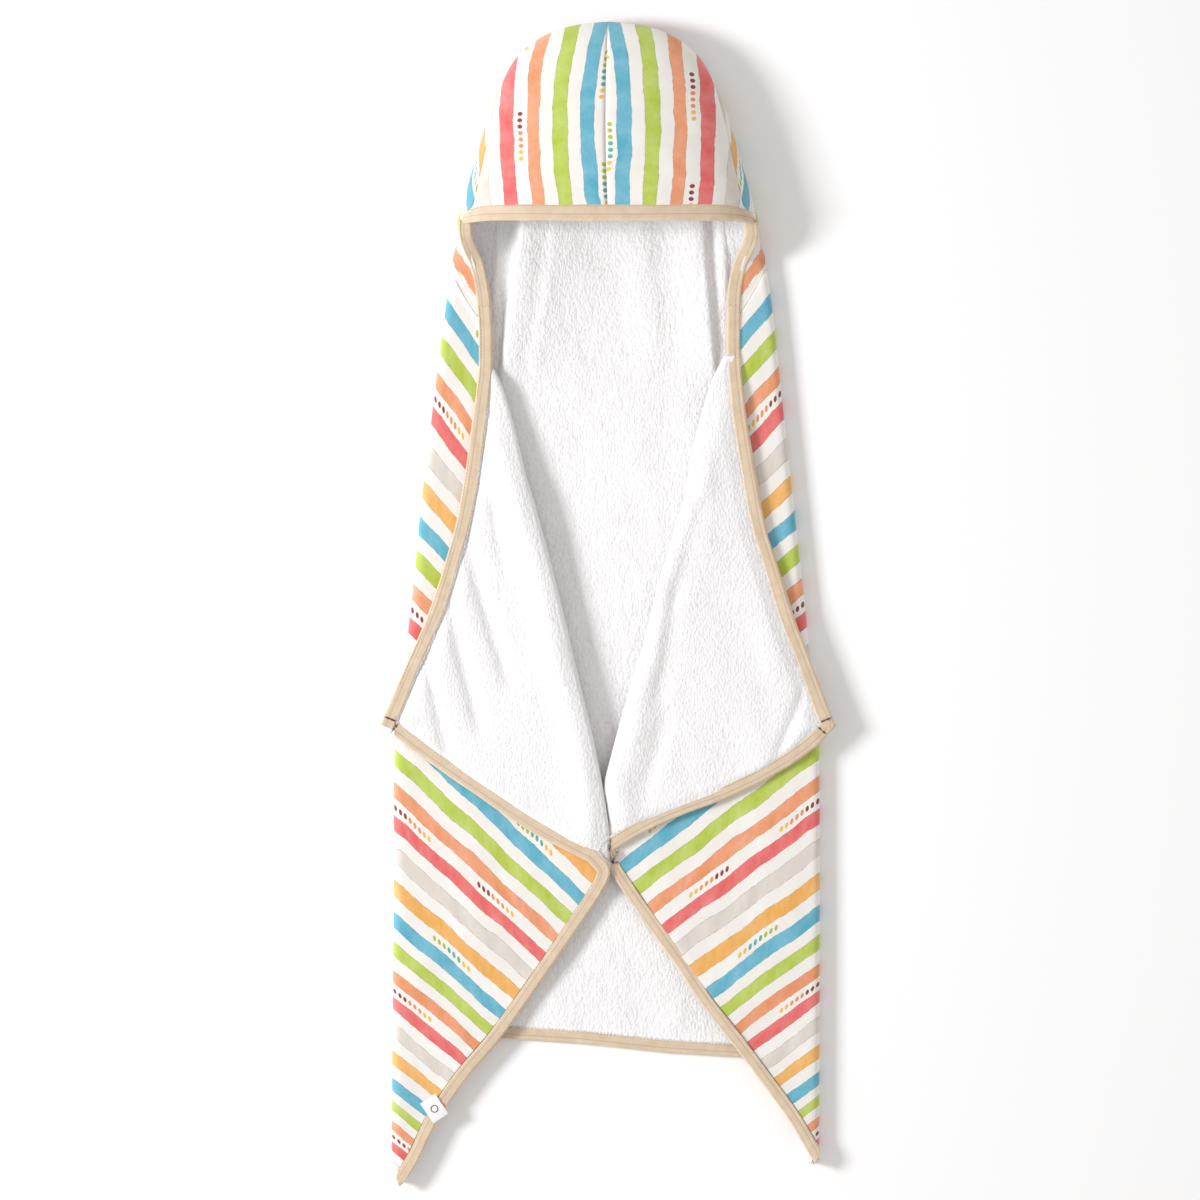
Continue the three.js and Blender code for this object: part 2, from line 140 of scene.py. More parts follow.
# Each side's outlines are points (distance from the middle, y) that run downwards. "blue" is where each
# blue stripe meets the fold, and "tilt" turns the stripes, in degrees. "grooves" are wrinkles of the
# lapel: start, end, half width and depth.
SIDES = {
    "left": {
        "sign": -1,
        "fold": [(149, 380), (161, 305), (174, 205), (186, 105), (196, 5), (204, -60),
                 (213, -140), (214, -300), (216, -520), (214, -560), (207, -581)],
        "neck": [(140, 385), (135, 372), (125, 345), (118, 312), (115, 275), (115, 240)],
        "lapel_top": [(128, 240), (131, 218), (135, 185), (144, 122), (153, 75), (161, 48),
                      (171, 15), (183, -18), (205, -68), (227, -119)],
        "lapel_side": [(227, -120), (188, -150), (138, -185), (78, -225), (18, -257), (4, -265)],
        "roll": [(115, 236), (105, 214), (93, 172), (83, 130), (74, 100), (52, 18), (33, -62),
                 (14, -142), (1, -215), (-2, -264)],
        "flap_edge": [(-2, -274), (25, -315), (71, -382), (108, -433), (141, -472), (170, -515),
                      (188, -552), (206, -582)],
        "blue": [515, 298, 80, -118, -314, -478, -600],
        "tilt": 1.0,
        "roll_fullness": 9.0,
        "grooves": [((142, 60), (98, -80), 8, 3.6), ((164, 20), (127, -125), 8, 3.8),
                    ((186, -35), (158, -155), 7, 3.0), ((116, 110), (104, 35), 6, 2.0)],
    },
    "right": {
        "sign": 1,
        "fold": [(150, 380), (163, 305), (174, 205), (185, 105), (196, 5), (203, -60),
                 (211, -140), (211, -520), (209, -545), (204, -562)],
        "neck": [(145, 385), (139, 372), (126, 345), (119, 312), (118, 275), (118, 240)],
        "lapel_top": [(132, 240), (135, 214), (139, 181), (150, 118), (157, 78), (165, 52), (175, 22),
                      (189, -22), (217, -95), (227, -120)],
        "lapel_side": [(227, -120), (205, -143), (172, -166), (125, -190), (55, -217), (3, -246), (-1, -248)],
        "roll": [(118, 250), (104, 222), (94, 188), (84, 148), (75, 100), (53, 27), (36, -40),
                 (17, -103), (3, -155), (-3, -180), (0, -202), (2, -218), (2, -248)],
        "flap_edge": [(-1, -256), (3, -268), (52, -338), (89, -392), (122, -435), (152, -475),
                      (180, -513), (200, -547), (205, -560)],
        "blue": [515, 303, 85, -112, -307, -472, -600],
        "tilt": -5.0,
        "roll_fullness": 6.0,
        "grooves": [((92, 105), (64, 5), 12, 3.4), ((66, 20), (50, -95), 11, 3.2),
                    ((203, -70), (168, -152), 6, 2.6), ((58, -110), (36, -190), 9, 2.0)],
    },
}
HEM = [(-212, -552), (-203, -541), (-106, -433), (-28, -438),
       (55, -447), (135, -452), (205, -546), (211, -556)]
HEM_MIDDLE_DEPTH = 445

# Height along the fold, and how steeply a stripe leaves it there, in degrees
STRIPE_ANGLES = [(-600, 37), (-300, 40), (-150, 42), (-60, 43), (0, 44), (60, 45.5), (120, 49),
                 (200, 51.5), (300, 56), (350, 58)]

# Folds of terry inside the neck: sign of the side, line, height, reach to the middle, reach outwards,
# and for a short fold the height where it begins
NECK_FOLDS = [
    (-1, [(80, 430), (86, 365), (96, 290), (105, 222)], 8.5, 26, 4.5),
    (-1, [(108, 430), (111, 365), (114, 300)], 3.0, 6, 4, 285),
    (-1, [(46, 430), (54, 340), (70, 240)], 3.0, 22, 9),
    (1, [(88, 430), (94, 370), (98, 310), (105, 222)], 7.5, 24, 4.5),
    (1, [(112, 430), (115, 365), (117, 300)], 3.4, 6, 4, 285),
    (1, [(30, 430), (38, 340), (50, 240)], 2.2, 20, 12),
]


def linear(red, green, blue):
    """A colour given in screen values, as the shader takes it."""
    def one(value):
        value /= 255
        return value / 12.92 if value <= 0.04045 else ((value + 0.055) / 1.055) ** 2.4
    return (one(red), one(green), one(blue), 1.0)


def shade(tone, share):
    """The same colour, darker."""
    return tuple(c * share for c in tone[:3]) + (1.0,)


STRIPES_A_REPEAT = 6
PITCH = 24.0

# Each stripe's colour and width
PRINT = {
    "blue": (linear(86, 184, 210), 12.5),
    "green": (linear(192, 213, 58), 12.5),
    "salmon": (linear(250, 158, 104), 11.0),
    "coral": (linear(244, 98, 94), 12.0),
    "tan": (linear(232, 223, 211), 13.0),
    "amber": (linear(252, 182, 74), 12.0),
}

# Each row of dots: the white band it lies in, its shift along the band, and its three colours
DOT_ROWS = [
    (2.5, 0.0, (linear(150, 62, 52), linear(240, 150, 96), linear(244, 196, 84))),
    (5.5, 61.0, (linear(178, 196, 70), linear(96, 178, 170), linear(244, 196, 84))),
]
DOT_SPACING = 6.4
DOT_RADIUS = 2.1
DOTS_A_GROUP = 8
GROUP_LENGTH = 112.0
# Whole repeats added before a modulo, so that it never takes a number below zero
REPEATS_ADDED = 40

GROUND = linear(252, 249, 244)
TERRY = linear(247, 246, 247)
BINDING = linear(247, 226, 198)
THREAD = linear(92, 76, 62)
PALE_THREAD = linear(214, 186, 150)
LABEL = linear(245, 245, 244)


# ---------------------------------------------------------------- curves and noise

def smooth_line(points, steps=60):
    """A Catmull-Rom curve through the points."""
    pts = np.array(points, float)
    pts = np.vstack([2 * pts[0] - pts[1], pts, 2 * pts[-1] - pts[-2]])
    count = len(points) - 1
    u = np.linspace(0, count, steps + 1)
    i = np.minimum(u.astype(int), count - 1)
    f = (u - i)[:, None]
    a, b, c, d = pts[i], pts[i + 1], pts[i + 2], pts[i + 3]
    return 0.5 * (2 * b + (c - a) * f + (2 * a - 5 * b + 4 * c - d) * f**2 + (3 * b - a - 3 * c + d) * f**3)


def run_along(points):
    """Distance along a line to each of its points."""
    return np.concatenate([[0], np.cumsum(np.linalg.norm(np.diff(points, axis=0), axis=1))])


def spread(values, path, count):
    """Values that are given at a path's points, at count places evenly along it."""
    run = run_along(path)
    at = np.linspace(0, run[-1], count)
    return np.stack([np.interp(at, run, column) for column in np.asarray(values, float).T], axis=1)


def resample(points, step):
    """The same line with a point about every step."""
    points = np.asarray(points, float)
    return spread(points, points, max(2, int(run_along(points)[-1] / step) + 1))


def width_at(line, y):
    """Distance from the middle at y, on a line that runs downwards."""
    return np.interp(y, line[::-1, 1], line[::-1, 0])


def ease(value, low, high):
    t = np.clip((value - low) / (high - low), 0, 1)
    return t * t * (3 - 2 * t)


def noise(x, y, size, seed):
    """Seeded smooth noise from -1 to 1."""
    table = np.random.default_rng(seed).uniform(-1, 1, (256, 256))
    fx, fy = np.asarray(x) / size, np.asarray(y) / size
    ix, iy = np.floor(fx).astype(int), np.floor(fy).astype(int)
    tx, ty = fx - ix, fy - iy
    tx, ty = tx * tx * (3 - 2 * tx), ty * ty * (3 - 2 * ty)
    at = lambda i, j: table[i % 256, j % 256]
    top = at(ix, iy) * (1 - tx) + at(ix + 1, iy) * tx
    low = at(ix, iy + 1) * (1 - tx) + at(ix + 1, iy + 1) * tx
    return top * (1 - ty) + low * ty


def pile(points, amount, seed):
    """Height of the terry's uneven pile: clumps drawn out along the towel, over softer swells."""
    x, y = points[..., 0], points[..., 1]
    clump = 1 - 2.2 * np.abs(noise(x, y * 0.55, 4.4, seed))
    soft = noise(x, y * 0.8, 12, seed + 1)
    patch = 0.55 + 0.45 * noise(x, y, 48, seed + 2)
    return amount * (0.5 * clump * patch + 0.45 * soft)


def groove(x, y, start, end, width, depth):
    """A soft valley between two points, fading out past its ends."""
    sx, sy = start
    dx, dy = end[0] - sx, end[1] - sy
    length = math.hypot(dx, dy)
    along = ((x - sx) * dx + (y - sy) * dy) / length
    aside = ((x - sx) * dy - (y - sy) * dx) / length
    fade = ease(along, -18, 14) * (1 - ease(along, length - 22, length + 20))
    return -depth * np.exp(-(aside / width) ** 2) * fade


# ---------------------------------------------------------------- meshes

def make_object(name, verts, faces, material, attributes=None):
    mesh = bpy.data.meshes.new(name)
    mesh.from_pydata([tuple(v) for v in np.asarray(verts) * MM], [], faces)
    mesh.validate()
    for key, values in (attributes or {}).items():
        layer = mesh.attributes.new(key, "FLOAT", "POINT")
        layer.data.foreach_set("value", np.asarray(values, np.float32).ravel())
    mesh.polygons.foreach_set("use_smooth", [True] * len(mesh.polygons))
    mesh.materials.append(material)
    obj = bpy.data.objects.new(name, mesh)
    bpy.context.scene.collection.objects.link(obj)
    return obj


def grid_normals(points):
    along = np.gradient(points, axis=0)
    across = np.gradient(points, axis=1)
    normal = np.cross(across, along)
    length = np.linalg.norm(normal, axis=2, keepdims=True)
    return normal / np.maximum(length, 1e-9)


def cloth(name, points, thickness, material, attributes=None, raised=None):
    """A closed sheet from a grid of points on its middle. raised lifts the outer face."""
    rows, cols = points.shape[:2]
    normal = grid_normals(points)
    lift = thickness / 2 if raised is None else thickness / 2 + raised[..., None]
    outer = points + normal * lift
    inner = points - normal * thickness / 2
    verts = np.concatenate([outer.reshape(-1, 3), inner.reshape(-1, 3)])
    index = np.arange(rows * cols).reshape(rows, cols)
    under = index + rows * cols
    faces = []
    quad = lambda a, b, c, d: np.stack([a, b, c, d], axis=-1).reshape(-1, 4).tolist()
    faces += quad(index[:-1, :-1], index[:-1, 1:], index[1:, 1:], index[1:, :-1])
    faces += quad(under[:-1, :-1], under[1:, :-1], under[1:, 1:], under[:-1, 1:])
    faces += quad(index[0, 1:], index[0, :-1], under[0, :-1], under[0, 1:])
    faces += quad(index[-1, :-1], index[-1, 1:], under[-1, 1:], under[-1, :-1])
    faces += quad(index[:-1, 0], index[1:, 0], under[1:, 0], under[:-1, 0])
    faces += quad(index[1:, -1], index[:-1, -1], under[:-1, -1], under[1:, -1])
    doubled = {key: np.concatenate([np.ravel(v), np.ravel(v)]) for key, v in (attributes or {}).items()}
    return make_object(name, verts, faces, material, doubled)


def tape(name, path, across, normal, width, half_thickness, material, seed, around=28, limit=None):
    """A folded binding: a rounded tube with soft lengthways ridges. path is its middle line."""
    count = len(path)
    angle = np.linspace(0, 2 * math.pi, around, endpoint=False)
    side = np.sign(np.cos(angle)) * np.abs(np.cos(angle)) ** 0.6
    up = np.sign(np.sin(angle)) * np.abs(np.sin(angle)) ** 0.8
    run = run_along(path)
    widths = np.broadcast_to(width, count) * (1 + 0.035 * noise(run, run * 0, 23, seed))
    reach = side[None, :] * widths[:, None] / 2
    rise = up[None, :] * half_thickness
    if half_thickness > THREAD_SIZE:
        shift = RIB_SWAY * noise(run, run * 0, 60, seed + 2)[:, None]
        ribs = RIB_HEIGHT * np.cos(2 * math.pi * (reach + shift) / RIB_SPACING) * (up > 0.2)[None, :]
        pucker = PUCKER_HEIGHT * noise(run, run * 0, 4.5, seed + 1)[:, None] * (up > 0)[None, :]
        scale = (widths / np.max(widths))[:, None]
        rise = rise * np.minimum(1, 0.4 + 0.6 * scale) + ribs * scale + pucker
    ring = path[:, None, :] + np.asarray(across)[:, None, :] * reach[..., None]
    ring = ring + np.asarray(normal)[:, None, :] * rise[..., None]
    if limit is not None:
        ring = limit(ring)
    index = np.arange(count * around).reshape(count, around)
    nxt = np.roll(index, -1, axis=1)
    faces = np.stack([index[:-1], nxt[:-1], nxt[1:], index[1:]], axis=-1).reshape(-1, 4).tolist()
    faces += [index[0][::-1].tolist(), index[-1].tolist()]
    middle = count // 2
    turned = np.cross(path[middle + 1] - path[middle], across[middle])
    if np.dot(turned, normal[middle]) < 0:
        faces = [face[::-1] for face in faces]
    attributes = {"along": np.repeat(run, around), "across": reach.ravel()}
    return make_object(name, ring.reshape(-1, 3), faces, material, attributes)


def ring_about(centre, one_way, other_way, radius, count):
    """Points on a circle in the plane of two directions."""
    angles = [2 * math.pi * k / count for k in range(count)]
    return [centre + (one_way * math.cos(a) + other_way * math.sin(a)) * radius for a in angles]


def add_rings(verts, faces, rings):
    """Joins rings of points into one closed spindle."""
    count, first = len(rings[0]), len(verts)
    last = first + count * (len(rings) - 1)
    for ring in rings:
        verts.extend(ring)
    for low in range(first, last, count):
        for k in range(count):
            beyond = (k + 1) % count
            faces.append([low + k, low + beyond, low + count + beyond, low + count + k])
    faces.append([first + k for k in range(count)][::-1])
    faces.append([last + k for k in range(count)])


def fringe(name, path, outward, normal, material, seed, spacing=1.5, length=2.6, radius=0.62):
    """Ends of pile that stand out over an edge: short bent cones, two at each place."""
    rng = np.random.default_rng(seed)
    base = resample(path, spacing)
    out = spread(outward, path, len(base))
    up = spread(normal, path, len(base))
    verts, faces = [], []
    for i in range(1, len(base) - 1):
        along = base[i + 1] - base[i]
        along /= np.linalg.norm(along)
        for _ in range(2):
            root = base[i] + along * rng.uniform(-1, 1) + out[i] * rng.uniform(-0.9, 0.3)
            lean = out[i] * rng.uniform(0.5, 1.1) + along * rng.uniform(-0.9, 0.9)
            lean = lean + up[i] * rng.uniform(0.05, 0.5)
            reach = length * rng.uniform(0.45, 1.1)
            centres = [root + lean * reach * share - up[i] * 0.5 * share * share for share, _ in TUFT]
            add_rings(verts, faces, [ring_about(centre, along, up[i], radius * size, 4)
                                     for centre, (_, size) in zip(centres, TUFT)])
    return make_object(name, verts, faces, material)


def stitches(name, path, normal, material, pitch=3.4, length=2.3, radius=0.33):
    """Short threads along a path, each a small spindle half sunk in the cloth."""
    places = resample(path, pitch)
    normals = spread(normal, path, len(places))
    verts, faces = [], []
    for start, end, up in zip(places[:-1], places[1:], normals):
        direction = (end - start) / np.linalg.norm(end - start)
        up = up / np.linalg.norm(up)
        sideways = np.cross(direction, up)
        middle = (start + end) / 2
        rings = [ring_about(middle + direction * share * length, sideways, up, radius * size, 6)
                 for share, size in SPINDLE]
        add_rings(verts, faces, rings)
    return make_object(name, verts, faces, material)


# ---------------------------------------------------------------- materials

class Nodes:
    """Short names for building a node tree."""

    def __init__(self, name):
        self.material = bpy.data.materials.new(name)
        self.material.use_nodes = True
        self.tree = self.material.node_tree
        self.shader = self.tree.nodes["Principled BSDF"]

    def link(self, value, socket):
        if isinstance(value, bpy.types.NodeSocket):
            self.tree.links.new(value, socket)
        else:
            socket.default_value = value

    def math(self, operation, a, b=0.0):
        node = self.tree.nodes.new("ShaderNodeMath")
        node.operation = operation
        self.link(a, node.inputs[0])
        self.link(b, node.inputs[1])
        return node.outputs[0]

    def attribute(self, name):
        node = self.tree.nodes.new("ShaderNodeAttribute")
        node.attribute_name = name
        return node.outputs["Fac"]

    def coords(self):
        return self.tree.nodes.new("ShaderNodeTexCoord").outputs["Object"]

    def noise(self, vector, scale, detail=3.0, roughness=0.55):
        node = self.tree.nodes.new("ShaderNodeTexNoise")
        self.link(vector, node.inputs["Vector"])
        node.inputs["Scale"].default_value = scale
        node.inputs["Detail"].default_value = detail
        node.inputs["Roughness"].default_value = roughness
        return node.outputs["Fac"]

    def cells(self, vector, scale):
        node = self.tree.nodes.new("ShaderNodeTexVoronoi")
        self.link(vector, node.inputs["Vector"])
        node.inputs["Scale"].default_value = scale
        return node.outputs["Distance"]

    def remap(self, value, from_low, from_high, to_low=0.0, to_high=1.0):
        node = self.tree.nodes.new("ShaderNodeMapRange")
        self.link(value, node.inputs["Value"])
        limits = {"From Min": from_low, "From Max": from_high, "To Min": to_low, "To Max": to_high}
        for key, number in limits.items():
            node.inputs[key].default_value = number
        return node.outputs["Result"]

    def mix(self, factor, a, b, mode="MIX"):
        node = self.tree.nodes.new("ShaderNodeMix")
        node.data_type = "RGBA"
        node.blend_type = mode
        self.link(factor, node.inputs[0])
        self.link(a, node.inputs[6])
        self.link(b, node.inputs[7])
        return node.outputs[2]

    def combine(self, x, y, z=0.0):
        node = self.tree.nodes.new("ShaderNodeCombineXYZ")
        self.link(x, node.inputs[0])
        self.link(y, node.inputs[1])
        self.link(z, node.inputs[2])
        return node.outputs[0]

    def bump(self, height, distance, strength=1.0):
        node = self.tree.nodes.new("ShaderNodeBump")
        node.inputs["Distance"].default_value = distance
        node.inputs["Strength"].default_value = strength
        self.link(height, node.inputs["Height"])
        self.tree.links.new(node.outputs[0], self.shader.inputs["Normal"])

    def finish(self, colour, roughness, sheen):
        self.link(colour, self.shader.inputs["Base Color"])
        self.shader.inputs["Roughness"].default_value = roughness
        self.shader.inputs["Specular IOR Level"].default_value = 0.2
        self.shader.inputs["Sheen Weight"].default_value = sheen
        self.shader.inputs["Sheen Roughness"].default_value = 0.6
        return self.material


def from_stripe(n, stripe, number):
    """Distance from the middle of that stripe of the repeat, in stripes."""
    half = STRIPES_A_REPEAT / 2
    turned = n.math("ADD", stripe, STRIPES_A_REPEAT * REPEATS_ADDED + half - number)
    return n.math("SUBTRACT", n.math("MODULO", turned, float(STRIPES_A_REPEAT)), half)


def printed_knit():
    """Fine jersey with hand-drawn stripes: "stripe" counts them, "thread" is millimetres along them."""
    n = Nodes("printed_knit")
    stripe, thread = n.attribute("stripe"), n.attribute("thread")
    place = n.combine(n.math("MULTIPLY", stripe, PITCH), thread)
    sway = n.remap(n.noise(place, 0.022, 1.0), 0.0, 1.0, -0.13, 0.13)
    ragged = n.remap(n.noise(place, 0.16, 2.0), 0.0, 1.0, -0.7, 0.7)
    shifted = n.math("ADD", stripe, sway)
    colour = n.mix(n.remap(n.noise(place, 0.03, 3.0), 0.3, 0.7), GROUND, linear(246, 241, 233))
    wash = n.remap(n.noise(place, 0.045, 4.0, 0.65), 0.3, 0.7, 0.0, 1.0)
    for number, (tone, width) in enumerate(PRINT.values()):
        apart = n.math("ABSOLUTE", from_stripe(n, shifted, number))
        edge = n.math("SUBTRACT", n.math("MULTIPLY", apart, PITCH), width / 2)
        edge = n.math("ADD", edge, ragged)
        inside = n.remap(edge, 0.25, -0.25)
        paler = tuple(c + (1 - c) * 0.16 for c in tone[:3]) + (1.0,)
        colour = n.mix(inside, colour, n.mix(wash, shade(tone, 0.88), paler))
        line = n.remap(n.math("ABSOLUTE", edge), 0.42, 0.12)
        broken = n.remap(n.noise(place, 0.12, 2.0), 0.38, 0.62, 0.12, 0.62)
        colour = n.mix(n.math("MULTIPLY", line, broken), colour, shade(tone, 0.2))
    colour = dots(n, shifted, thread, colour)
    grain = n.noise(place, 2.2, 2.0)
    colour = n.mix(n.remap(grain, 0.35, 0.75, 0.0, 0.10), colour, linear(205, 200, 194), "MULTIPLY")
    rib = n.math("SINE", n.math("MULTIPLY", thread, 2 * math.pi / 0.95))
    course = n.math("SINE", n.math("MULTIPLY", n.math("MULTIPLY", stripe, PITCH), 2 * math.pi / 1.15))
    height = n.math("ADD", n.math("MULTIPLY", rib, course), n.math("MULTIPLY", grain, 1.2))
    n.bump(height, 0.00022, 0.7)
    return n.finish(colour, 0.86, 0.25)


def dots(n, stripe, thread, colour):
    """Rows of small plain dots in two white bands of each repeat, in groups."""
    for row, shift, tones in DOT_ROWS:
        across = n.math("MULTIPLY", from_stripe(n, stripe, row), PITCH)
        start = n.math("ADD", thread, GROUP_LENGTH * REPEATS_ADDED + shift)
        run = n.math("MODULO", start, GROUP_LENGTH)
        number = n.math("FLOOR", n.math("DIVIDE", run, DOT_SPACING))
        along = n.math("SUBTRACT", run, n.math("MULTIPLY", number, DOT_SPACING))
        along = n.math("SUBTRACT", along, DOT_SPACING / 2)
        squares = n.math("ADD", n.math("MULTIPLY", across, across), n.math("MULTIPLY", along, along))
        away = n.math("SQRT", squares)
        in_group = n.math("LESS_THAN", number, float(DOTS_A_GROUP))
        disc = n.math("MULTIPLY", n.remap(away, DOT_RADIUS + 0.15, DOT_RADIUS - 0.15), in_group)
        first = n.math("LESS_THAN", number, 3.0)
        second = n.math("LESS_THAN", number, 5.5)
        tone = n.mix(first, n.mix(second, tones[2], tones[1]), tones[0])
        colour = n.mix(disc, colour, tone)
    return colour


def terry_material():
    n = Nodes("terry")
    stretch = n.tree.nodes.new("ShaderNodeVectorMath")
    stretch.operation = "MULTIPLY"
    n.link(n.coords(), stretch.inputs[0])
    stretch.inputs[1].default_value = (1.0, 0.55, 1.0)
    place = stretch.outputs[0]
    patch = n.remap(n.noise(place, 26, 2.0), 0.4, 0.62)
    clumps = n.cells(place, 400)
    tufts = n.noise(place, 700, 4.0, 0.7)
    # painted shade: the colour darkens in the creases between the pile's clumps, more strongly in some
    # patches
    painted_crease_shade = n.math("MULTIPLY", n.remap(clumps, 0.42, 0.85), n.remap(patch, 0.0, 1.0, 0.35, 1.0))
    colour = n.mix(n.math("MULTIPLY", painted_crease_shade, 0.4), TERRY, linear(222, 217, 213))
    colour = n.mix(n.remap(tufts, 0.35, 0.7, 0.0, 0.16), colour, linear(226, 223, 221))
    height = n.math("SUBTRACT", n.math("MULTIPLY", tufts, 0.9), n.math("MULTIPLY", clumps, 0.7))
    n.bump(height, 0.0017, 0.7)
    return n.finish(colour, 1.0, 0.1)


def binding_material():
    n = Nodes("binding")
    along, across = n.attribute("along"), n.attribute("across")
    place = n.combine(along, across)
    rib = n.math("SINE", n.math("MULTIPLY", along, 2 * math.pi / 1.05))
    fine = n.math("SINE", n.math("MULTIPLY", across, 2 * math.pi / 0.8))
    tone = n.noise(place, 0.08, 4.0, 0.6)
    colour = n.mix(n.remap(tone, 0.3, 0.7), BINDING, linear(234, 208, 176))
    colour = n.mix(n.remap(rib, 0.2, 1.0, 0.0, 0.16), colour, linear(206, 176, 142))
    # painted shade: a darker line along the binding's stitched groove, 1.7 mm off its middle
    fold = n.math("ABSOLUTE", n.math("ADD", across, 1.7))
    colour = n.mix(n.remap(fold, 0.75, 0.2, 0.0, 0.5), colour, linear(196, 160, 120))
    weave = n.math("ADD", fine, n.noise(place, 1.4))
    n.bump(n.math("ADD", n.math("MULTIPLY", rib, 0.8), weave), 0.00022, 0.8)
    return n.finish(colour, 0.88, 0.3)


def plain_material(name, tone, scale, roughness):
    n = Nodes(name)
    grain = n.noise(n.coords(), scale, 3.0)
    colour = n.mix(n.remap(grain, 0.3, 0.7), tone, shade(tone, 0.82))
    n.bump(grain, 0.0001, 0.6)
    return n.finish(colour, roughness, 0.15)


KNIT = printed_knit()
TERRY_CLOTH = terry_material()
TAPE = binding_material()
DARK_THREAD = plain_material("dark_thread", THREAD, 3000, 0.7)
SEWING_THREAD = plain_material("sewing_thread", PALE_THREAD, 3000, 0.7)
SATIN = plain_material("label_satin", LABEL, 2600, 0.45)


# ---------------------------------------------------------------- shapes of the two sides

def side_lines(side):
    """Each outline as a smooth line of points that runs downwards."""
    edges = ("neck", "lapel_top", "lapel_side", "roll", "flap_edge")
    lines = {key: smooth_line(side[key], 90) for key in edges}
    fold = smooth_line(side["fold"], 120)
    lines["fold"] = np.vstack([[(fold[0, 0] - 3, 410)], fold])
    return lines


LINES = {side["sign"]: side_lines(side) for side in SIDES.values()}


def stripe_slope(side, y):
    """How steeply the stripe that meets the fold at y runs down towards the middle."""
    angle = np.array(STRIPE_ANGLES, float)
    tilt = side["tilt"] * (1 - 0.6 * ease(-y, 220, 460))
    return np.tan(np.radians(np.interp(y, angle[:, 0], angle[:, 1]) + tilt))


def stripe_number(side, y):
    blue = np.array(side["blue"], float)
    return np.interp(-y, -blue, np.arange(len(blue)) * STRIPES_A_REPEAT) - STRIPES_A_REPEAT


def print_coordinates(side, lines, x, y):
    """Stripe number and distance along the stripe, on the upper side. x is from the middle."""
    start = np.array(y, float)
    inward = width_at(lines["fold"], start) - x
    for _ in range(25):
        inward = width_at(lines["fold"], start) - x
        start = 0.5 * start + 0.5 * (y + stripe_slope(side, start) * inward)
    return stripe_number(side, start), inward * np.sqrt(1 + stripe_slope(side, start) ** 2)


def underside_coordinates(side, lines, x, y):
    """The same round the fold and underneath, where the stripes arch across the back."""
    edge = width_at(lines["fold"], y)
    inward = np.maximum(edge - x, 0)
    arch = inward - inward**2 / (2 * edge)
    start = y - stripe_slope(side, y) * arch
    return stripe_number(side, start), -inward * np.sqrt(1 + stripe_slope(side, y) ** 2)


def seam_shift(x, z, fold):
    """How far the neck seam lies above its middle height, so that it slopes across the strip."""
    above = np.clip((x - SEAM_MIDDLE_X) * SEAM_SLOPE, -SEAM_REACH, SEAM_REACH)
    below = SEAM_REACH * ease(x, fold - 34, fold - 2)
    return np.where(z > FOLD_HEIGHT / 2, above, below)


def inner_edge(lines, y):
    """Where the folded front ends towards the middle: neck edge, roll line or free edge."""
    neck, roll = width_at(lines["neck"], y), width_at(lines["roll"], y)
    edge = width_at(lines["flap_edge"], y)
    low = lines["roll"][-1, 1]
    return np.where(y > NECK_FOOT_Y, neck, np.where(y > low, roll, edge))


def front_wave(x, y, sign):
    """Soft unevenness of the folded fronts."""
    seed = 31 if sign < 0 else 47
    return 1.5 * noise(x + 0.4 * y, y, 62, seed) + 0.7 * noise(x + y * 0.6, y, 27, seed + 1)


def section_rows(top, foot, step=ROW_STEP):
    return np.linspace(top, foot, int((top - foot) / step) + 1)


def front_points(lines, rows, height, start_depth, base, across=72, arc=12):
    """Grid of a front's ply: from under the side, round the fold, to its inner edge."""
    grid, past, inward = [], [], []
    for y in rows:
        fold = float(width_at(lines["fold"], y))
        inner = float(inner_edge(lines, np.array(y))) + EDGE_GAP
        radius = (height - base) / 2
        room = max(fold - inner, 2.0)
        radius_x = min(radius, room * 0.5)
        angle = np.linspace(-math.pi / 2, math.pi / 2, arc)
        ax = fold - base - radius_x + radius_x * np.cos(angle)
        az = (height + base) / 2 + radius * np.sin(angle)
        begin = np.linspace(fold - base - radius_x - min(start_depth, room * 0.4), ax[0], 5)[:-1]
        top = np.linspace(ax[-1], inner, across + 1)[1:]
        x = np.concatenate([begin, ax, np.minimum(top, ax[-1])])
        z = np.concatenate([np.full(4, base), az, np.full(across, height)])
        grid.append(np.stack([x, np.full_like(x, y), z], axis=1))
    return slope_seam(np.array(grid), lines)


def slope_seam(grid, lines):
    """Moves the rows near the neck seam so that they follow it."""
    x, y, z = grid[..., 0], grid[..., 1], grid[..., 2]
    fold = width_at(lines["fold"], y)
    moved = seam_shift(x, z, fold) * ease(y, 190, NECK_SEAM_Y)
    share = np.clip((x - 125) / (fold - 125), 0, 1)
    grid[..., 0] = x + share * (width_at(lines["fold"], y + moved) - fold)
    grid[..., 1] = y + moved
    return grid


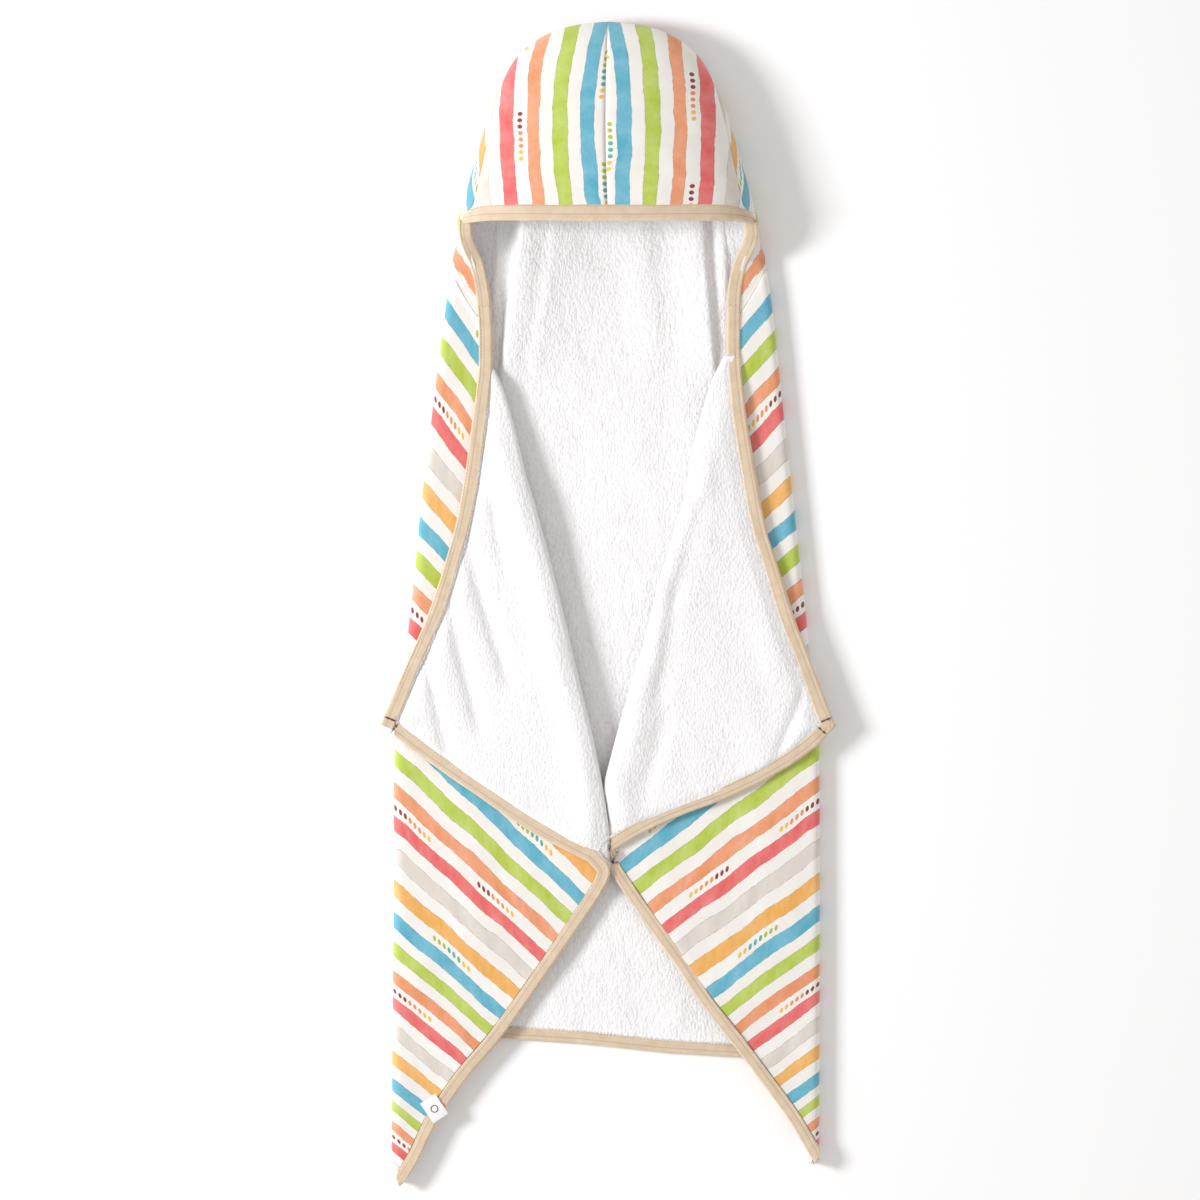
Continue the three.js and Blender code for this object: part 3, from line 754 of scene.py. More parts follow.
def add_front(name, side, lines):
    """Print and terry of a folded front, with their flat cuts."""
    sign = side["sign"]
    rows = section_rows(NECK_SEAM_Y, side["fold"][-1][1] + 5)

    grid = front_points(lines, rows, FOLD_HEIGHT, 10, 0.6)
    shell_cut = cut_size(grid)
    x, y, z = grid[..., 0], grid[..., 1], grid[..., 2]
    upper = print_coordinates(side, lines, x, y)
    lower = underside_coordinates(side, lines, x, y)
    share = ease(z, FOLD_HEIGHT * 0.3, FOLD_HEIGHT * 0.7)
    number = lower[0] * (1 - share) + upper[0] * share
    thread = lower[1] * (1 - share) + upper[1] * share
    above = -0.5 - number
    number = np.where(above > 0, -0.5 + np.minimum(above, 0.14), number)
    free = ease(z, FOLD_HEIGHT - 0.5, FOLD_HEIGHT) * ease(width_at(lines["fold"], y) - x, 8, 30)
    under_lapel = ease(y, -150, -100) * (1 - ease(y, 225, 260))
    near_edge = ease(x - inner_edge(lines, y), 6, 22)
    grid[..., 2] += free * near_edge * (front_wave(x, y, sign) * (1 - 0.85 * under_lapel))
    grid[..., 0] *= sign
    turn = slice(None) if sign > 0 else slice(None, None, -1)
    shell = cloth(f"{name}_front_shell", grid[:, turn], SHELL_THICKNESS, KNIT,
                  {"stripe": number[:, turn], "thread": thread[:, turn]})

    grid = front_points(lines, rows, FLAP_TERRY_HEIGHT, 16, 3.0, across=60)
    lining_cut = cut_size(grid)
    grid[..., 0] *= sign
    order = grid if sign > 0 else grid[:, ::-1]
    lining = cloth(f"{name}_front_lining", order[:, ::-1], TERRY_THICKNESS, TERRY_CLOTH,
                   raised=0.3 + pile(order[:, ::-1], 0.3, 70 + sign))
    return shell, lining, shell_cut, lining_cut


def cut_size(points):
    """Widest width, longest length (metres) and area (square metres) of a grid laid flat."""
    along = np.diff(points, axis=0)
    across = np.diff(points, axis=1)
    area = np.linalg.norm(np.cross(along[:, :-1], across[:-1]), axis=2).sum()
    wide = np.linalg.norm(across, axis=2).sum(axis=1).max()
    tall = np.linalg.norm(along, axis=2).sum(axis=0).max()
    return float(wide) * MM, float(tall) * MM, float(area) * MM * MM


def lapel_outer(lines, y):
    corner = lines["lapel_top"][-1, 1]
    return np.where(y > corner, width_at(lines["lapel_top"], y), width_at(lines["lapel_side"], y))


def lapel_height(side, x, y, roll, outer):
    """Height of the lapel's terry: full along its roll, with soft wrinkles, and low beside its bindings."""
    sign = side["sign"]
    seed = 83 if sign < 0 else 97
    room = ease(outer - roll, 12, 75)
    full = side["roll_fullness"] * room * np.exp(-(((x - roll - 9) / 19) ** 2)) * ease(y, -262, -190)
    full = full * (0.45 + 0.55 * (1 - ease(y, 120, 230)))
    wrinkle = 1.4 * noise(x + y * 0.3, y * 0.45, 38, seed) + 0.6 * noise(x + y * 0.25, y * 0.4, 19, seed + 1)
    for start, end, width, depth in side["grooves"]:
        wrinkle = wrinkle + 1.3 * groove(x, y, start, end, width, depth)
    belly = 4.4 * room
    calm = ease(x - roll, 0, 22) * (1 - ease(x, outer - 24, outer - 5))
    height = LAPEL_TERRY_HEIGHT - 0.8 + full + (wrinkle + belly) * calm
    dip = TERRY_DIP_BY_BINDING * beside_binding(side, x, y, outer)
    return np.maximum(height - dip, LAPEL_SHELL_HEIGHT + 0.2)


def beside_binding(side, x, y, outer):
    """1 under the lapel's bindings, 0 where the pile stands clear of them."""
    foot = np.array(side["lapel_side"][::-1], float)
    above = (y - np.interp(x, foot[:, 0], foot[:, 1])) * 0.88
    within = (outer + 6 - x) * 0.94
    return 1 - ease(np.minimum(above, within), 9, 17)


def add_lapel(name, side, lines):
    sign = side["sign"]
    rows = section_rows(side["roll"][0][1] - 1, side["roll"][-1][1] + 2, 2.2)
    across, arc = 112, 12
    grid = []
    for y in rows:
        roll = float(width_at(lines["roll"], y))
        outer = float(lapel_outer(lines, np.array(y))) - 6
        outer = max(outer, roll + 8)
        low, reach = LAPEL_ROLL_FOOT, LAPEL_ROLL_REACH
        top = max(float(lapel_height(side, roll + reach, y, roll, outer)), low + 2.5)
        angle = np.linspace(-math.pi / 2, -3 * math.pi / 2, arc)
        ax = roll + reach + reach * np.cos(angle)
        az = (top + low) / 2 + (top - low) / 2 * np.sin(angle)
        tail = np.linspace(ax[0] + min(8, outer - roll), ax[0], 4)[:-1]
        x_top = np.linspace(ax[-1], max(outer, ax[-1] + 2), across + 1)[1:]
        x = np.concatenate([tail, ax, x_top])
        z = np.concatenate([np.full(3, low), az, lapel_height(side, x_top, y, roll, outer)])
        grid.append(np.stack([x, np.full_like(x, y), z], axis=1))
    grid = np.array(grid)
    flat = grid.copy()
    flat[..., 2] = np.minimum(flat[..., 2], LAPEL_TERRY_HEIGHT)
    top_cut = cut_size(flat)
    grid[..., 0] *= sign
    order = (grid if sign < 0 else grid[:, ::-1])[:, ::-1]
    outline = lapel_outer(lines, order[..., 1]) - 6
    calm = 1 - 0.8 * beside_binding(side, np.abs(order[..., 0]), order[..., 1], outline)
    top = cloth(f"{name}_lapel_terry", order, TERRY_THICKNESS, TERRY_CLOTH,
                raised=0.3 + (0.1 + pile(order, 1.0, 90 + sign)) * calm)

    inner = []
    for y in rows[rows > side["roll"][-1][1] + 16]:
        roll = float(width_at(lines["roll"], y)) + 9
        outer = max(float(lapel_outer(lines, np.array(y))) - 12, roll + 3)
        x = np.linspace(roll, outer, 50)
        inner.append(np.stack([x, np.full_like(x, y), np.full_like(x, LAPEL_SHELL_HEIGHT)], axis=1))
    inner = np.array(inner)
    unrolled = 2 * width_at(lines["roll"], inner[..., 1]) - inner[..., 0]
    number, thread = print_coordinates(side, lines, unrolled, inner[..., 1])
    inner[..., 0] *= sign
    turn = slice(None, None, -1) if sign > 0 else slice(None)
    shell = cloth(f"{name}_lapel_print", inner[:, turn], SHELL_THICKNESS, KNIT,
                  {"stripe": number[:, turn], "thread": thread[:, turn]})
    return top, shell, top_cut, cut_size(inner)


def beside(line, offset, step=2.5):
    """The line moved sideways: positive is to the outside of the towel's side, as it runs downwards."""
    flat = resample(line, step)
    tangent = np.gradient(flat, axis=0)
    tangent /= np.linalg.norm(tangent, axis=1, keepdims=True)
    left = np.stack([-tangent[:, 1], tangent[:, 0]], axis=1)
    return flat + left * offset


Edge = namedtuple("Edge", "band path across rim normal")


def edge_tape(name, centre, sign, heights, seed, width=BINDING_WIDTH, inner=-1, limit=None):
    """A binding along its middle line, with the directions and the rim that other pieces follow."""
    flat = centre * [sign, 1]
    path = np.column_stack([flat, np.broadcast_to(heights, len(flat))])
    tangent = np.gradient(flat, axis=0)
    tangent /= np.linalg.norm(tangent, axis=1, keepdims=True)
    across = np.column_stack([-tangent[:, 1], tangent[:, 0], np.zeros(len(flat))]) * sign * inner
    normal = np.tile([0.0, 0.0, 1.0], (len(flat), 1))
    band = tape(name, path, across, normal, width, BINDING_HALF_THICKNESS, TAPE, seed, limit=limit)
    rim = path + across * (np.broadcast_to(width, len(flat))[:, None] / 2)
    return Edge(band, path, across, rim, normal)


# ---------------------------------------------------------------- hood

def hood_width(along):
    closing = np.sqrt(np.clip(1 - along**8, 0, 1))
    return (HOOD_HALF_WIDTH - HOOD_TAPER * along) * closing


def seam_share(along):
    """Where the front's side seam lies, as a share of the half width."""
    wide = FRONT_SHARE + 0.08 * np.clip(along / 0.8, 0, 1) ** 1.4
    return wide + (FRONT_SHARE_AT_BRIM - FRONT_SHARE) * (1 - ease(along, 0.0, 0.075))


def seam_angle(along):
    return np.arccos(np.clip(seam_share(along), 0, 1) ** (1 / HOOD_ROUNDNESS))


BRIM_SEAM_ANGLE = float(seam_angle(np.array(0.0)))

# Each ply of the hood: how far inside the outline, thickness, material, whether it is printed
PRINT_PLY = (0.6, SHELL_THICKNESS, KNIT, True)
TERRY_PLY = (3.2, TERRY_THICKNESS, TERRY_CLOTH, False)


def hood_point(angle, along, inset):
    closing = np.sqrt(np.clip(1 - along**8, 0, 1))
    dome = np.sqrt(np.clip(1 - along**2.6, 0, 1))
    width = (HOOD_HALF_WIDTH - inset - HOOD_TAPER * along) * closing
    cosine, sine = np.cos(angle), np.sin(angle)
    power = np.where(sine >= 0, HOOD_ROUNDNESS, 0.5)
    x = width * np.sign(cosine) * np.abs(cosine) ** power
    height = np.where(sine >= 0, (HOOD_RISE - inset) * dome, (HOOD_EDGE_HEIGHT - inset) * closing)
    z = HOOD_EDGE_HEIGHT + np.sign(sine) * height * np.abs(sine) ** power
    y = BRIM_Y + along * (HOOD_TOP - BRIM_Y - inset)
    return np.stack([x, y + 0 * x, z], axis=-1)


def hood_softness(points):
    """Small dents and swells, so that the hood isn't a perfect dome."""
    x, y = points[..., 0], points[..., 1]
    swell = 1.5 * noise(x, y, 70, 11) + 0.7 * noise(x + y * 0.3, y, 34, 12)
    return swell * np.exp(-((y - BRIM_Y) / 260) ** 2)


def hood_front(name, sign, inset, thickness, material, with_print):
    along = np.linspace(0.005, 0.9995, 84)
    share = np.linspace(0, 1, 64)
    a, s = np.meshgrid(along, share, indexing="ij")
    seam = seam_angle(a)
    angle = seam + (math.pi / 2 - seam) * s
    points = hood_point(angle, a, inset)
    points[..., 2] += hood_softness(points * [sign, 1, 1]) * (1 - a**6)
    valley = np.exp(-((1 - s) * hood_width(a) / 2.2) ** 2) + np.exp(-(s * hood_width(a) / 3) ** 2)
    points[..., 2] -= 0.6 * valley * (1 - a**8)
    distance = points[..., 0].copy()
    points[..., 0] = sign * points[..., 0] + SEAM_CENTRE_X * np.sin(math.pi * np.clip(a, 0, 1)) * s
    flip = slice(None, None, -1) if sign > 0 else slice(None)
    order = points[:, flip]
    attributes, raised = None, None
    if with_print:
        risen = np.clip((points[..., 1] - BRIM_Y) / (HOOD_TOP - BRIM_Y), 0, 1)
        bow = 12.5 + 6 * np.sin(math.pi * risen) - 7 * risen**5
        stripe = (distance - bow) / HOOD_PITCH
        thread = (HOOD_TOP - points[..., 1]) + 20 * sign + 40
        attributes = {"stripe": stripe[:, flip], "thread": thread[:, flip]}
    else:
        raised = pile(order, 0.3, 15)
    return cloth(name, order, thickness, material, attributes, raised), cut_size(order)


def cuff_height(y):
    """Top of the side strips, which rise to meet the hood's corners."""
    return FOLD_HEIGHT + CUFF_RISE * np.exp(-(((BRIM_Y - y) / CUFF_REACH) ** 2))


def cuff_section(y, columns, inset):
    """Cross-section of the hood's back where it runs down into the two side folds."""
    half = []
    for side in (SIDES["right"], SIDES["left"]):
        lines = LINES[side["sign"]]
        fold = float(width_at(lines["fold"], y)) - inset
        neck = float(width_at(lines["neck"], y)) + 6
        height = float(cuff_height(y)) - inset
        low = inset + 0.6
        radius = (height - low) / 2
        reach = min(radius, max(fold - neck, 4) * 0.8 + 2)
        angle = np.linspace(math.pi / 2, -math.pi / 2, 20)
        ax = fold - reach + reach * np.cos(angle)
        az = (height + low) / 2 + radius * np.sin(angle)
        line = [(min(neck, ax[0]), height)] + list(zip(ax, az)) + [(0.0, low)]
        half.append(np.array(line) * [side["sign"], 1])
    whole = np.vstack([half[0], half[1][::-1][1:]])
    return spread(whole, whole, columns)


def hood_back_coordinates(grid):
    """Stripe number and thread distance: slanting at the sides, arched underneath."""
    rows, columns = grid.shape[:2]
    number, thread = np.zeros((rows, columns)), np.zeros((rows, columns))
    first, second = HOOD_BACK_STRIPES
    for i in range(rows):
        ring = grid[i]
        run = run_along(ring[:, [0, 2]])
        right, left = int(np.argmax(ring[:, 0])), int(np.argmin(ring[:, 0]))
        half = max((run[left] - run[right]) / 2, 1.0)
        beyond = np.minimum(run - run[right], run[left] - run)
        arch = np.where(beyond > 0, beyond - beyond**2 / (2 * half), beyond)
        start = ring[:, 1] - HOOD_BACK_SLOPE * arch
        upper = 1 + (first - start) / (first - second)
        lower = 2 + (second - start) / HOOD_BACK_PITCH
        number[i] = np.where(start > second, upper, lower)
        thread[i] = beyond * 1.6
    return number, thread


def hood_ring(seam, along, inset, columns):
    """Outline of the hood's back, from one side seam round underneath to the other."""
    curve = hood_point(np.linspace(seam, -math.pi - seam, 400), np.array(along), inset)
    return spread(curve, curve, columns)


def hood_back(name, inset, thickness, material, with_print):
    columns = 170
    grid = []
    fold_line = LINES[1]["fold"]
    for y in np.arange(NECK_SEAM_Y, BRIM_Y, ROW_STEP):
        flat = cuff_section(y, columns, inset)
        mouth = hood_ring(BRIM_SEAM_ANGLE, 0.0, inset, columns)
        mixed = float(ease(y, HOOD_MORPH_START, BRIM_Y))
        section = np.column_stack([flat[:, 0], np.full(columns, y), flat[:, 1]])
        mouth[:, 1] = y
        section = section * (1 - mixed) + mouth * mixed
        fold = float(width_at(fold_line, y))
        level = 1 - ease(y, NECK_SEAM_Y, BRIM_Y - 12)
        moved = seam_shift(np.abs(section[:, 0]), section[:, 2], fold) * level
        section[:, 1] += moved
        section[:, 0] *= 1 - 0.13 * moved / fold * ease(np.abs(section[:, 0]), 120, fold)
        grid.append(section)
    for along in np.linspace(0.0, 0.9995, 74):
        grid.append(hood_ring(float(seam_angle(np.array(along))), along, inset, columns))
    grid = np.array(grid)
    area = cut_size(grid)
    attributes, raised = None, None
    if with_print:
        number, thread = hood_back_coordinates(grid)
        attributes = {"stripe": number, "thread": thread}
    else:
        # the back panel's terry runs on over this floor, so it lies lower there
        floor = (1 - ease(np.abs(grid[..., 0]), 92, 118)) * (1 - ease(grid[..., 1], 400, 428))
        low = grid[..., 2] < HOOD_EDGE_HEIGHT
        grid[..., 2] -= 1.6 * floor * low
        raised = 0.3 + pile(grid[:, ::-1], 0.6, 19)
    order = grid if with_print else grid[:, ::-1]
    return cloth(name, order, thickness, material, attributes, raised), area


def add_brim():
    angle = np.linspace(BRIM_SEAM_ANGLE - 0.05, math.pi - BRIM_SEAM_ANGLE + 0.05, 170)
    reach = BRIM_WIDTH / (HOOD_TOP - BRIM_Y)
    low, high = hood_point(angle, np.array(0.0), 1.6), hood_point(angle, np.array(reach), 1.6)
    path = (low + high) / 2
    path[:, 2] += hood_softness(path) * 0.9
    out = np.abs(path[:, 0]) / np.max(np.abs(path[:, 0]))
    path[:, 1] += -4.0 + 2.5 * out**2 - 5.5 * out**9
    width = BRIM_WIDTH * (1 - 0.3 * out**14)
    across = (high - low) / np.linalg.norm(high - low, axis=1, keepdims=True)
    tangent = np.gradient(path, axis=0)
    normal = np.cross(across, tangent)
    normal /= np.linalg.norm(normal, axis=1, keepdims=True)
    if normal[len(normal) // 2][2] < 0:
        normal = -normal
    band = tape("brim_tape", path, across, normal, width, 3.6, TAPE, 3)
    seam_path = path + across * (width[:, None] / 2 - 1.7) + normal * 3.3
    thread = stitches("brim_stitching", seam_path, normal, SEWING_THREAD)
    return band, thread


# ---------------------------------------------------------------- back panel

def ridge(x, y, sign, line, height, inner, outer, start=None):
    """A fold of terry that slopes gently towards the middle and drops sharply outside."""
    at = np.interp(-y, [-p[1] for p in line], [p[0] for p in line])
    away = at - sign * x
    fold = height * np.exp(-((away / np.where(away > 0, inner, outer)) ** 2))
    return fold if start is None else fold * ease(y, start, start + 45)


def terry_relief(x, y):
    """Height of the inside of the back: soft folds near the neck, calm under the fronts."""
    folds = sum(ridge(x, y, *fold) for fold in NECK_FOLDS) * ease(y, 205, 262)
    slack = 1.5 * noise(x, y * 0.6, 62, 21) + 0.9 * noise(x * 1.3 + y * 0.2, y * 0.45, 36, 22)
    low = 1.8 * noise(x + 0.5 * y, y, 55, 23) * ease(-y, 240, 300)
    return folds + slack + low


def hem_line(x):
    hem = np.array(HEM, float)
    return np.interp(x, hem[:, 0], hem[:, 1])


def back_grid(inset, columns, step, top_y):
    """Grid between the two side folds and the hem."""
    left, right = LINES[-1], LINES[1]
    rows = np.linspace(0, 1, int((top_y + HEM_MIDDLE_DEPTH) / step))
    across = np.linspace(0, 1, columns)
    grid = np.zeros((len(rows), columns, 3))
    for j, share in enumerate(across):
        foot = float(hem_line(-205 + 411 * share)) + 8
        y = top_y + (foot - top_y) * rows
        low = -(width_at(left["fold"], y) - inset)
        high = width_at(right["fold"], y) - inset
        grid[:, j, 0] = low + (high - low) * share
        grid[:, j, 1] = y
    return grid


def add_back():
    grid = back_grid(10, 200, 2.1, BACK_TOP_Y)
    x, y = grid[..., 0], grid[..., 1]
    # narrower above the strips, so that it stays between the hood's side walls
    grid[..., 0] = x * (1 - 0.10 * ease(y, 330, 400))
    x = grid[..., 0]
    fold = width_at(LINES[-1]["fold"], y)
    covered = ease(np.abs(x), fold - 60, fold - 25) * 0.85 * (1 - ease(y, 235, 275))
    edge_low = ease(np.abs(x), fold - 30, fold - 12) * 2.2
    grid[..., 2] = 3.9
    lining_cut = cut_size(grid)
    sunk = 3.4 * ease(y, BACK_TOP_Y - 21, BACK_TOP_Y)
    by_hem = ease(y - hem_line(x), 9, 34)
    relief = terry_relief(x, y) * by_hem * (1 - covered) * (1 - ease(y, BACK_TOP_Y - 31, BACK_TOP_Y))
    grid[..., 2] += relief - edge_low * (y > 240) - sunk
    order = grid[:, ::-1]
    lining = cloth("back_terry", order, TERRY_THICKNESS, TERRY_CLOTH,
                   raised=0.3 + pile(order, 0.8, 50) * (0.25 + 0.75 * by_hem[:, ::-1]))

    under = back_grid(9, 110, 5, NECK_SEAM_Y + 3)
    under[..., 2] = 0.6
    x, y = under[..., 0], under[..., 1]
    side, lines = SIDES["left"], LINES[-1]
    number, thread = underside_coordinates(side, lines, np.abs(x), y)
    shell = cloth("back_print", under, SHELL_THICKNESS, KNIT, {"stripe": number, "thread": thread})
    return lining, shell, lining_cut, cut_size(under)


# ---------------------------------------------------------------- assembly

def ramp(sign):
    """Start and end of the stretch where a front turns about its joint."""
    (x0, y0), (x1, y1) = RAMP_LINE
    inward = np.array([y1 - y0, x0 - x1], float)
    inward /= np.linalg.norm(inward)
    end = np.array([x0, y0]) + inward * RAMP_LENGTH
    return (sign * x0 * MM, y0 * MM, 0.0), (sign * end[0] * MM, end[1] * MM, 0.0)


def follow_flap(obj, name):
    start, end = ramp(SIDES[name]["sign"])
    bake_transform(obj)


def follow_hood(obj):
    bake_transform(obj)


def on_back(obj):
    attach(obj, "back")


def on_hood(obj):
    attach(obj, "hood")


def lay(obj, follow, nodes):
    """Applies a sheet's follow step and hides the frame's parts that it stands for."""
    follow(obj)
    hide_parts(*nodes)


def put(pieces, follow, nodes=()):
    """Applies the follow step to each small piece and hides the frame's parts in nodes; the slot names in
    pieces are not used.
    """
    for piece, slot_name in pieces:
        follow(piece)
    if nodes:
        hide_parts(*nodes)


def sewn(edge, name, offset):
    """Stitching along a binding."""
    line = edge.path + edge.across * offset + edge.normal * STITCH_HEIGHT
    return stitches(name, line, edge.normal, SEWING_THREAD)


def tufts_beside(edge, name, height, keep, seed):
    """Ends of pile over the kept part of a binding's rim."""
    rim = (edge.rim + edge.normal * height)[keep]
    return fringe(name, rim, -edge.across[keep], edge.normal[keep], TERRY_CLOTH, seed)


def inside_folds(ring):
    """Keeps the hem's binding between the two side folds."""
    x, y = ring[..., 0], ring[..., 1]
    edge = np.where(x > 0, width_at(LINES[1]["fold"], y), width_at(LINES[-1]["fold"], y)) - 9
    ring[..., 0] = np.clip(x, -edge, edge)
    return ring


def build_back():
    lining, shell, lining_cut, shell_cut = add_back()
    lay(shell, on_back, ["back_shell"])
    lay(lining, follow_hood, ["back_lining"])
    centre = beside(np.array(HEM, float), BINDING_WIDTH / 2 - 0.5)
    centre = centre[np.abs(centre[:, 0]) < HEM_HALF_LENGTH]
    edge = edge_tape("hem_tape", centre, 1, 3.6, 8, HEM_WIDTH, 1, inside_folds)
    seam = edge.path + edge.across * (HEM_WIDTH / 2 - 1.6) + edge.normal * (BINDING_HALF_THICKNESS * 0.95)
    clear = np.abs(seam[:, 0]) < HEM_THREAD_HALF_LENGTH
    thread = stitches("hem_stitching", seam[clear], edge.normal[clear], SEWING_THREAD)
    tufts = tufts_beside(edge, "hem_fringe", 2.2, clear, 9)
    put([(edge.band, "binding"), (thread, "thread"), (tufts, "terry")], on_back, ["hem_binding"])


def neck_paths(lines):
    """Middle lines of the binding: above the neck seam, and from there down to the lapel's corner."""
    neck = beside(lines["neck"], BINDING_WIDTH / 2)
    top = beside(lines["lapel_top"], -BINDING_WIDTH / 2)
    seam = NECK_SEAM_Y - 12
    upper = neck[neck[:, 1] > seam - 2]
    lower = np.vstack([neck[(neck[:, 1] < seam + 2) & (neck[:, 1] > 243)], top[top[:, 1] < 236]])
    return upper, smooth_line(lower[::6].tolist() + [lower[-1].tolist()], len(lower))


def add_neck(name, sign, lines, follow):
    """The neck's binding in two stretches, of which the lower runs on along the lapel's top."""
    upper, lower = neck_paths(lines)
    corner = hood_point(np.array([BRIM_SEAM_ANGLE]), np.array(0.0), 0.6)[0]
    rising = ease(upper[:, 1], HOOD_MORPH_START, BRIM_Y)
    upper[:, 0] += (corner[0] - 4 - upper[:, 0]) * rising
    heights = cuff_height(upper[:, 1]) * (1 - rising) + corner[2] * rising - 0.4
    edge = edge_tape(f"{name}_neck_tape_upper", upper, sign, heights, 11)
    thread = sewn(edge, f"{name}_neck_stitching_upper", -NECK_STITCH)
    put([(edge.band, "binding"), (thread, "thread")], follow_hood)

    heights = cuff_height(lower[:, 1]) - 0.4
    heights = heights + (LAPEL_TERRY_HEIGHT + 0.6 - heights) * (1 - ease(lower[:, 1], 196, 262))
    edge = edge_tape(f"{name}_neck_tape", lower, sign, heights, 12)
    thread = sewn(edge, f"{name}_neck_stitching", -NECK_STITCH)
    tufts = tufts_beside(edge, f"{name}_lapel_top_fringe", 1.6, lower[:, 1] < 200, 31 + sign)
    put([(edge.band, "binding"), (thread, "thread"), (tufts, "terry")], follow,
        [f"{name}_neck_binding", f"{name}_lapel_top_binding"])


def edge_paths(lines):
    """Middle lines of the bindings on the lapel's side and the flap's free edge."""
    low = beside(lines["lapel_side"], -BINDING_WIDTH / 2)
    free = beside(lines["flap_edge"], FLAP_BINDING_WIDTH / 2)
    return low, free


def left_free_edge(sign, lines, follow, limit):
    """One binding round the lapel's side, the crossing's corner and the flap's free edge."""
    low, free = edge_paths(lines)
    corner = [(14.5, -251.5), (7.5, -257.5), (4.6, -266), (7.6, -275.5)]
    turn_x, turn_y = corner[2]
    whole = np.vstack([low[low[:, 0] > 20], corner, free[free[:, 0] > 12]])
    whole = resample(smooth_line(whole[::2].tolist() + [whole[-1].tolist()], 3 * len(whole)), 2.0)
    turned = np.argmin(np.abs(whole[:, 0] - turn_x) + np.abs(whole[:, 1] - turn_y))
    run = np.arange(len(whole)) - turned
    heights = LAPEL_TERRY_HEIGHT + 0.5 - 5.6 * ease(run, 0, 14)
    width = BINDING_WIDTH + (FLAP_BINDING_WIDTH - BINDING_WIDTH) * ease(run, -4, 8)
    width = width * foot_taper(whole)
    edge = edge_tape("left_free_edge_tape", whole, sign, heights, 14, width, limit=limit)
    thread = sewn(edge, "left_free_edge_stitching", SIDE_STITCH)
    put([(edge.band, "binding"), (thread, "thread")], follow,
        ["left_lapel_side_binding", "left_flap_binding"])
    put([(tufts_beside(edge, "left_lapel_side_fringe", 1.6, run < -8, 41 + sign), "terry")], follow)
    seam = edge.path - edge.across * (width[:, None] / 2 - 0.2) + edge.normal * 1.4
    return seam[run > 7], edge.normal[run > 7]


def right_free_edge(sign, lines, follow, limit):
    """Two bindings, on the lapel's side and on the flap's free edge, which passes under the other front."""
    low, free = edge_paths(lines)
    edge = edge_tape("right_lapel_side_tape", low, sign, LAPEL_TERRY_HEIGHT + 0.5, 14, limit=right_of_middle)
    thread = sewn(edge, "right_lapel_side_stitching", SIDE_STITCH)
    put([(edge.band, "binding"), (thread, "thread")], follow, ["right_lapel_side_binding"])
    width = FLAP_BINDING_WIDTH * foot_taper(free)
    flap = edge_tape("right_flap_tape", free, sign, 15.6, 15, width, limit=limit)
    put([(flap.band, "binding")], follow, ["right_flap_binding"])
    put([(tufts_beside(edge, "right_lapel_side_fringe", 1.6, slice(None), 41 + sign), "terry")], follow)
    seam = flap.path - flap.across * (FLAP_BINDING_WIDTH / 2 - 0.2) + flap.normal * 1.4
    return seam, flap.normal


FREE_EDGES = {"left": left_free_edge, "right": right_free_edge}


def build_side(name):
    side = SIDES[name]
    sign = side["sign"]
    lines = LINES[sign]
    follow = lambda piece: follow_flap(piece, name)
    shell, lining, shell_cut, lining_cut = add_front(name, side, lines)
    lay(shell, follow, [f"{name}_fold_shell", f"{name}_flap_shell"])
    lay(lining, follow, [f"{name}_fold_lining", f"{name}_flap_lining"])
    top, under, top_cut, under_cut = add_lapel(name, side, lines)
    lay(top, follow, [f"{name}_lapel_lining"])
    lay(under, follow, [f"{name}_lapel_shell"])

    def inside_fold(ring):
        reach = width_at(lines["fold"], ring[..., 1]) + 0.4
        return np.dstack([np.clip(ring[..., 0] * sign, -3, reach) * sign, ring[..., 1], ring[..., 2]])

    add_neck(name, sign, lines, follow)
    seam, normal = FREE_EDGES[name](sign, lines, follow, inside_fold)
    inside = np.abs(seam[:, 0])
    keep = (inside > 9) & (inside < width_at(lines["fold"], seam[:, 1]) - 3)
    dark = stitches(f"{name}_flap_seam_thread", seam[keep], normal[keep], DARK_THREAD, 2.6, 2.5, 0.42)
    put([(dark, "thread")], follow)
    add_tacks(name, sign, lines)


def foot_taper(line):
    """Share of the full width that a binding keeps as it runs out at the foot of its side."""
    left = np.linalg.norm(line - line[-1], axis=1)
    return 0.45 + 0.55 * np.clip(left / 16, 0, 1) ** 0.6


def right_of_middle(ring):
    """Keeps a tape on the right-hand side of the middle."""
    return np.dstack([np.maximum(ring[..., 0], MIDDLE_GAP), ring[..., 1], ring[..., 2]])


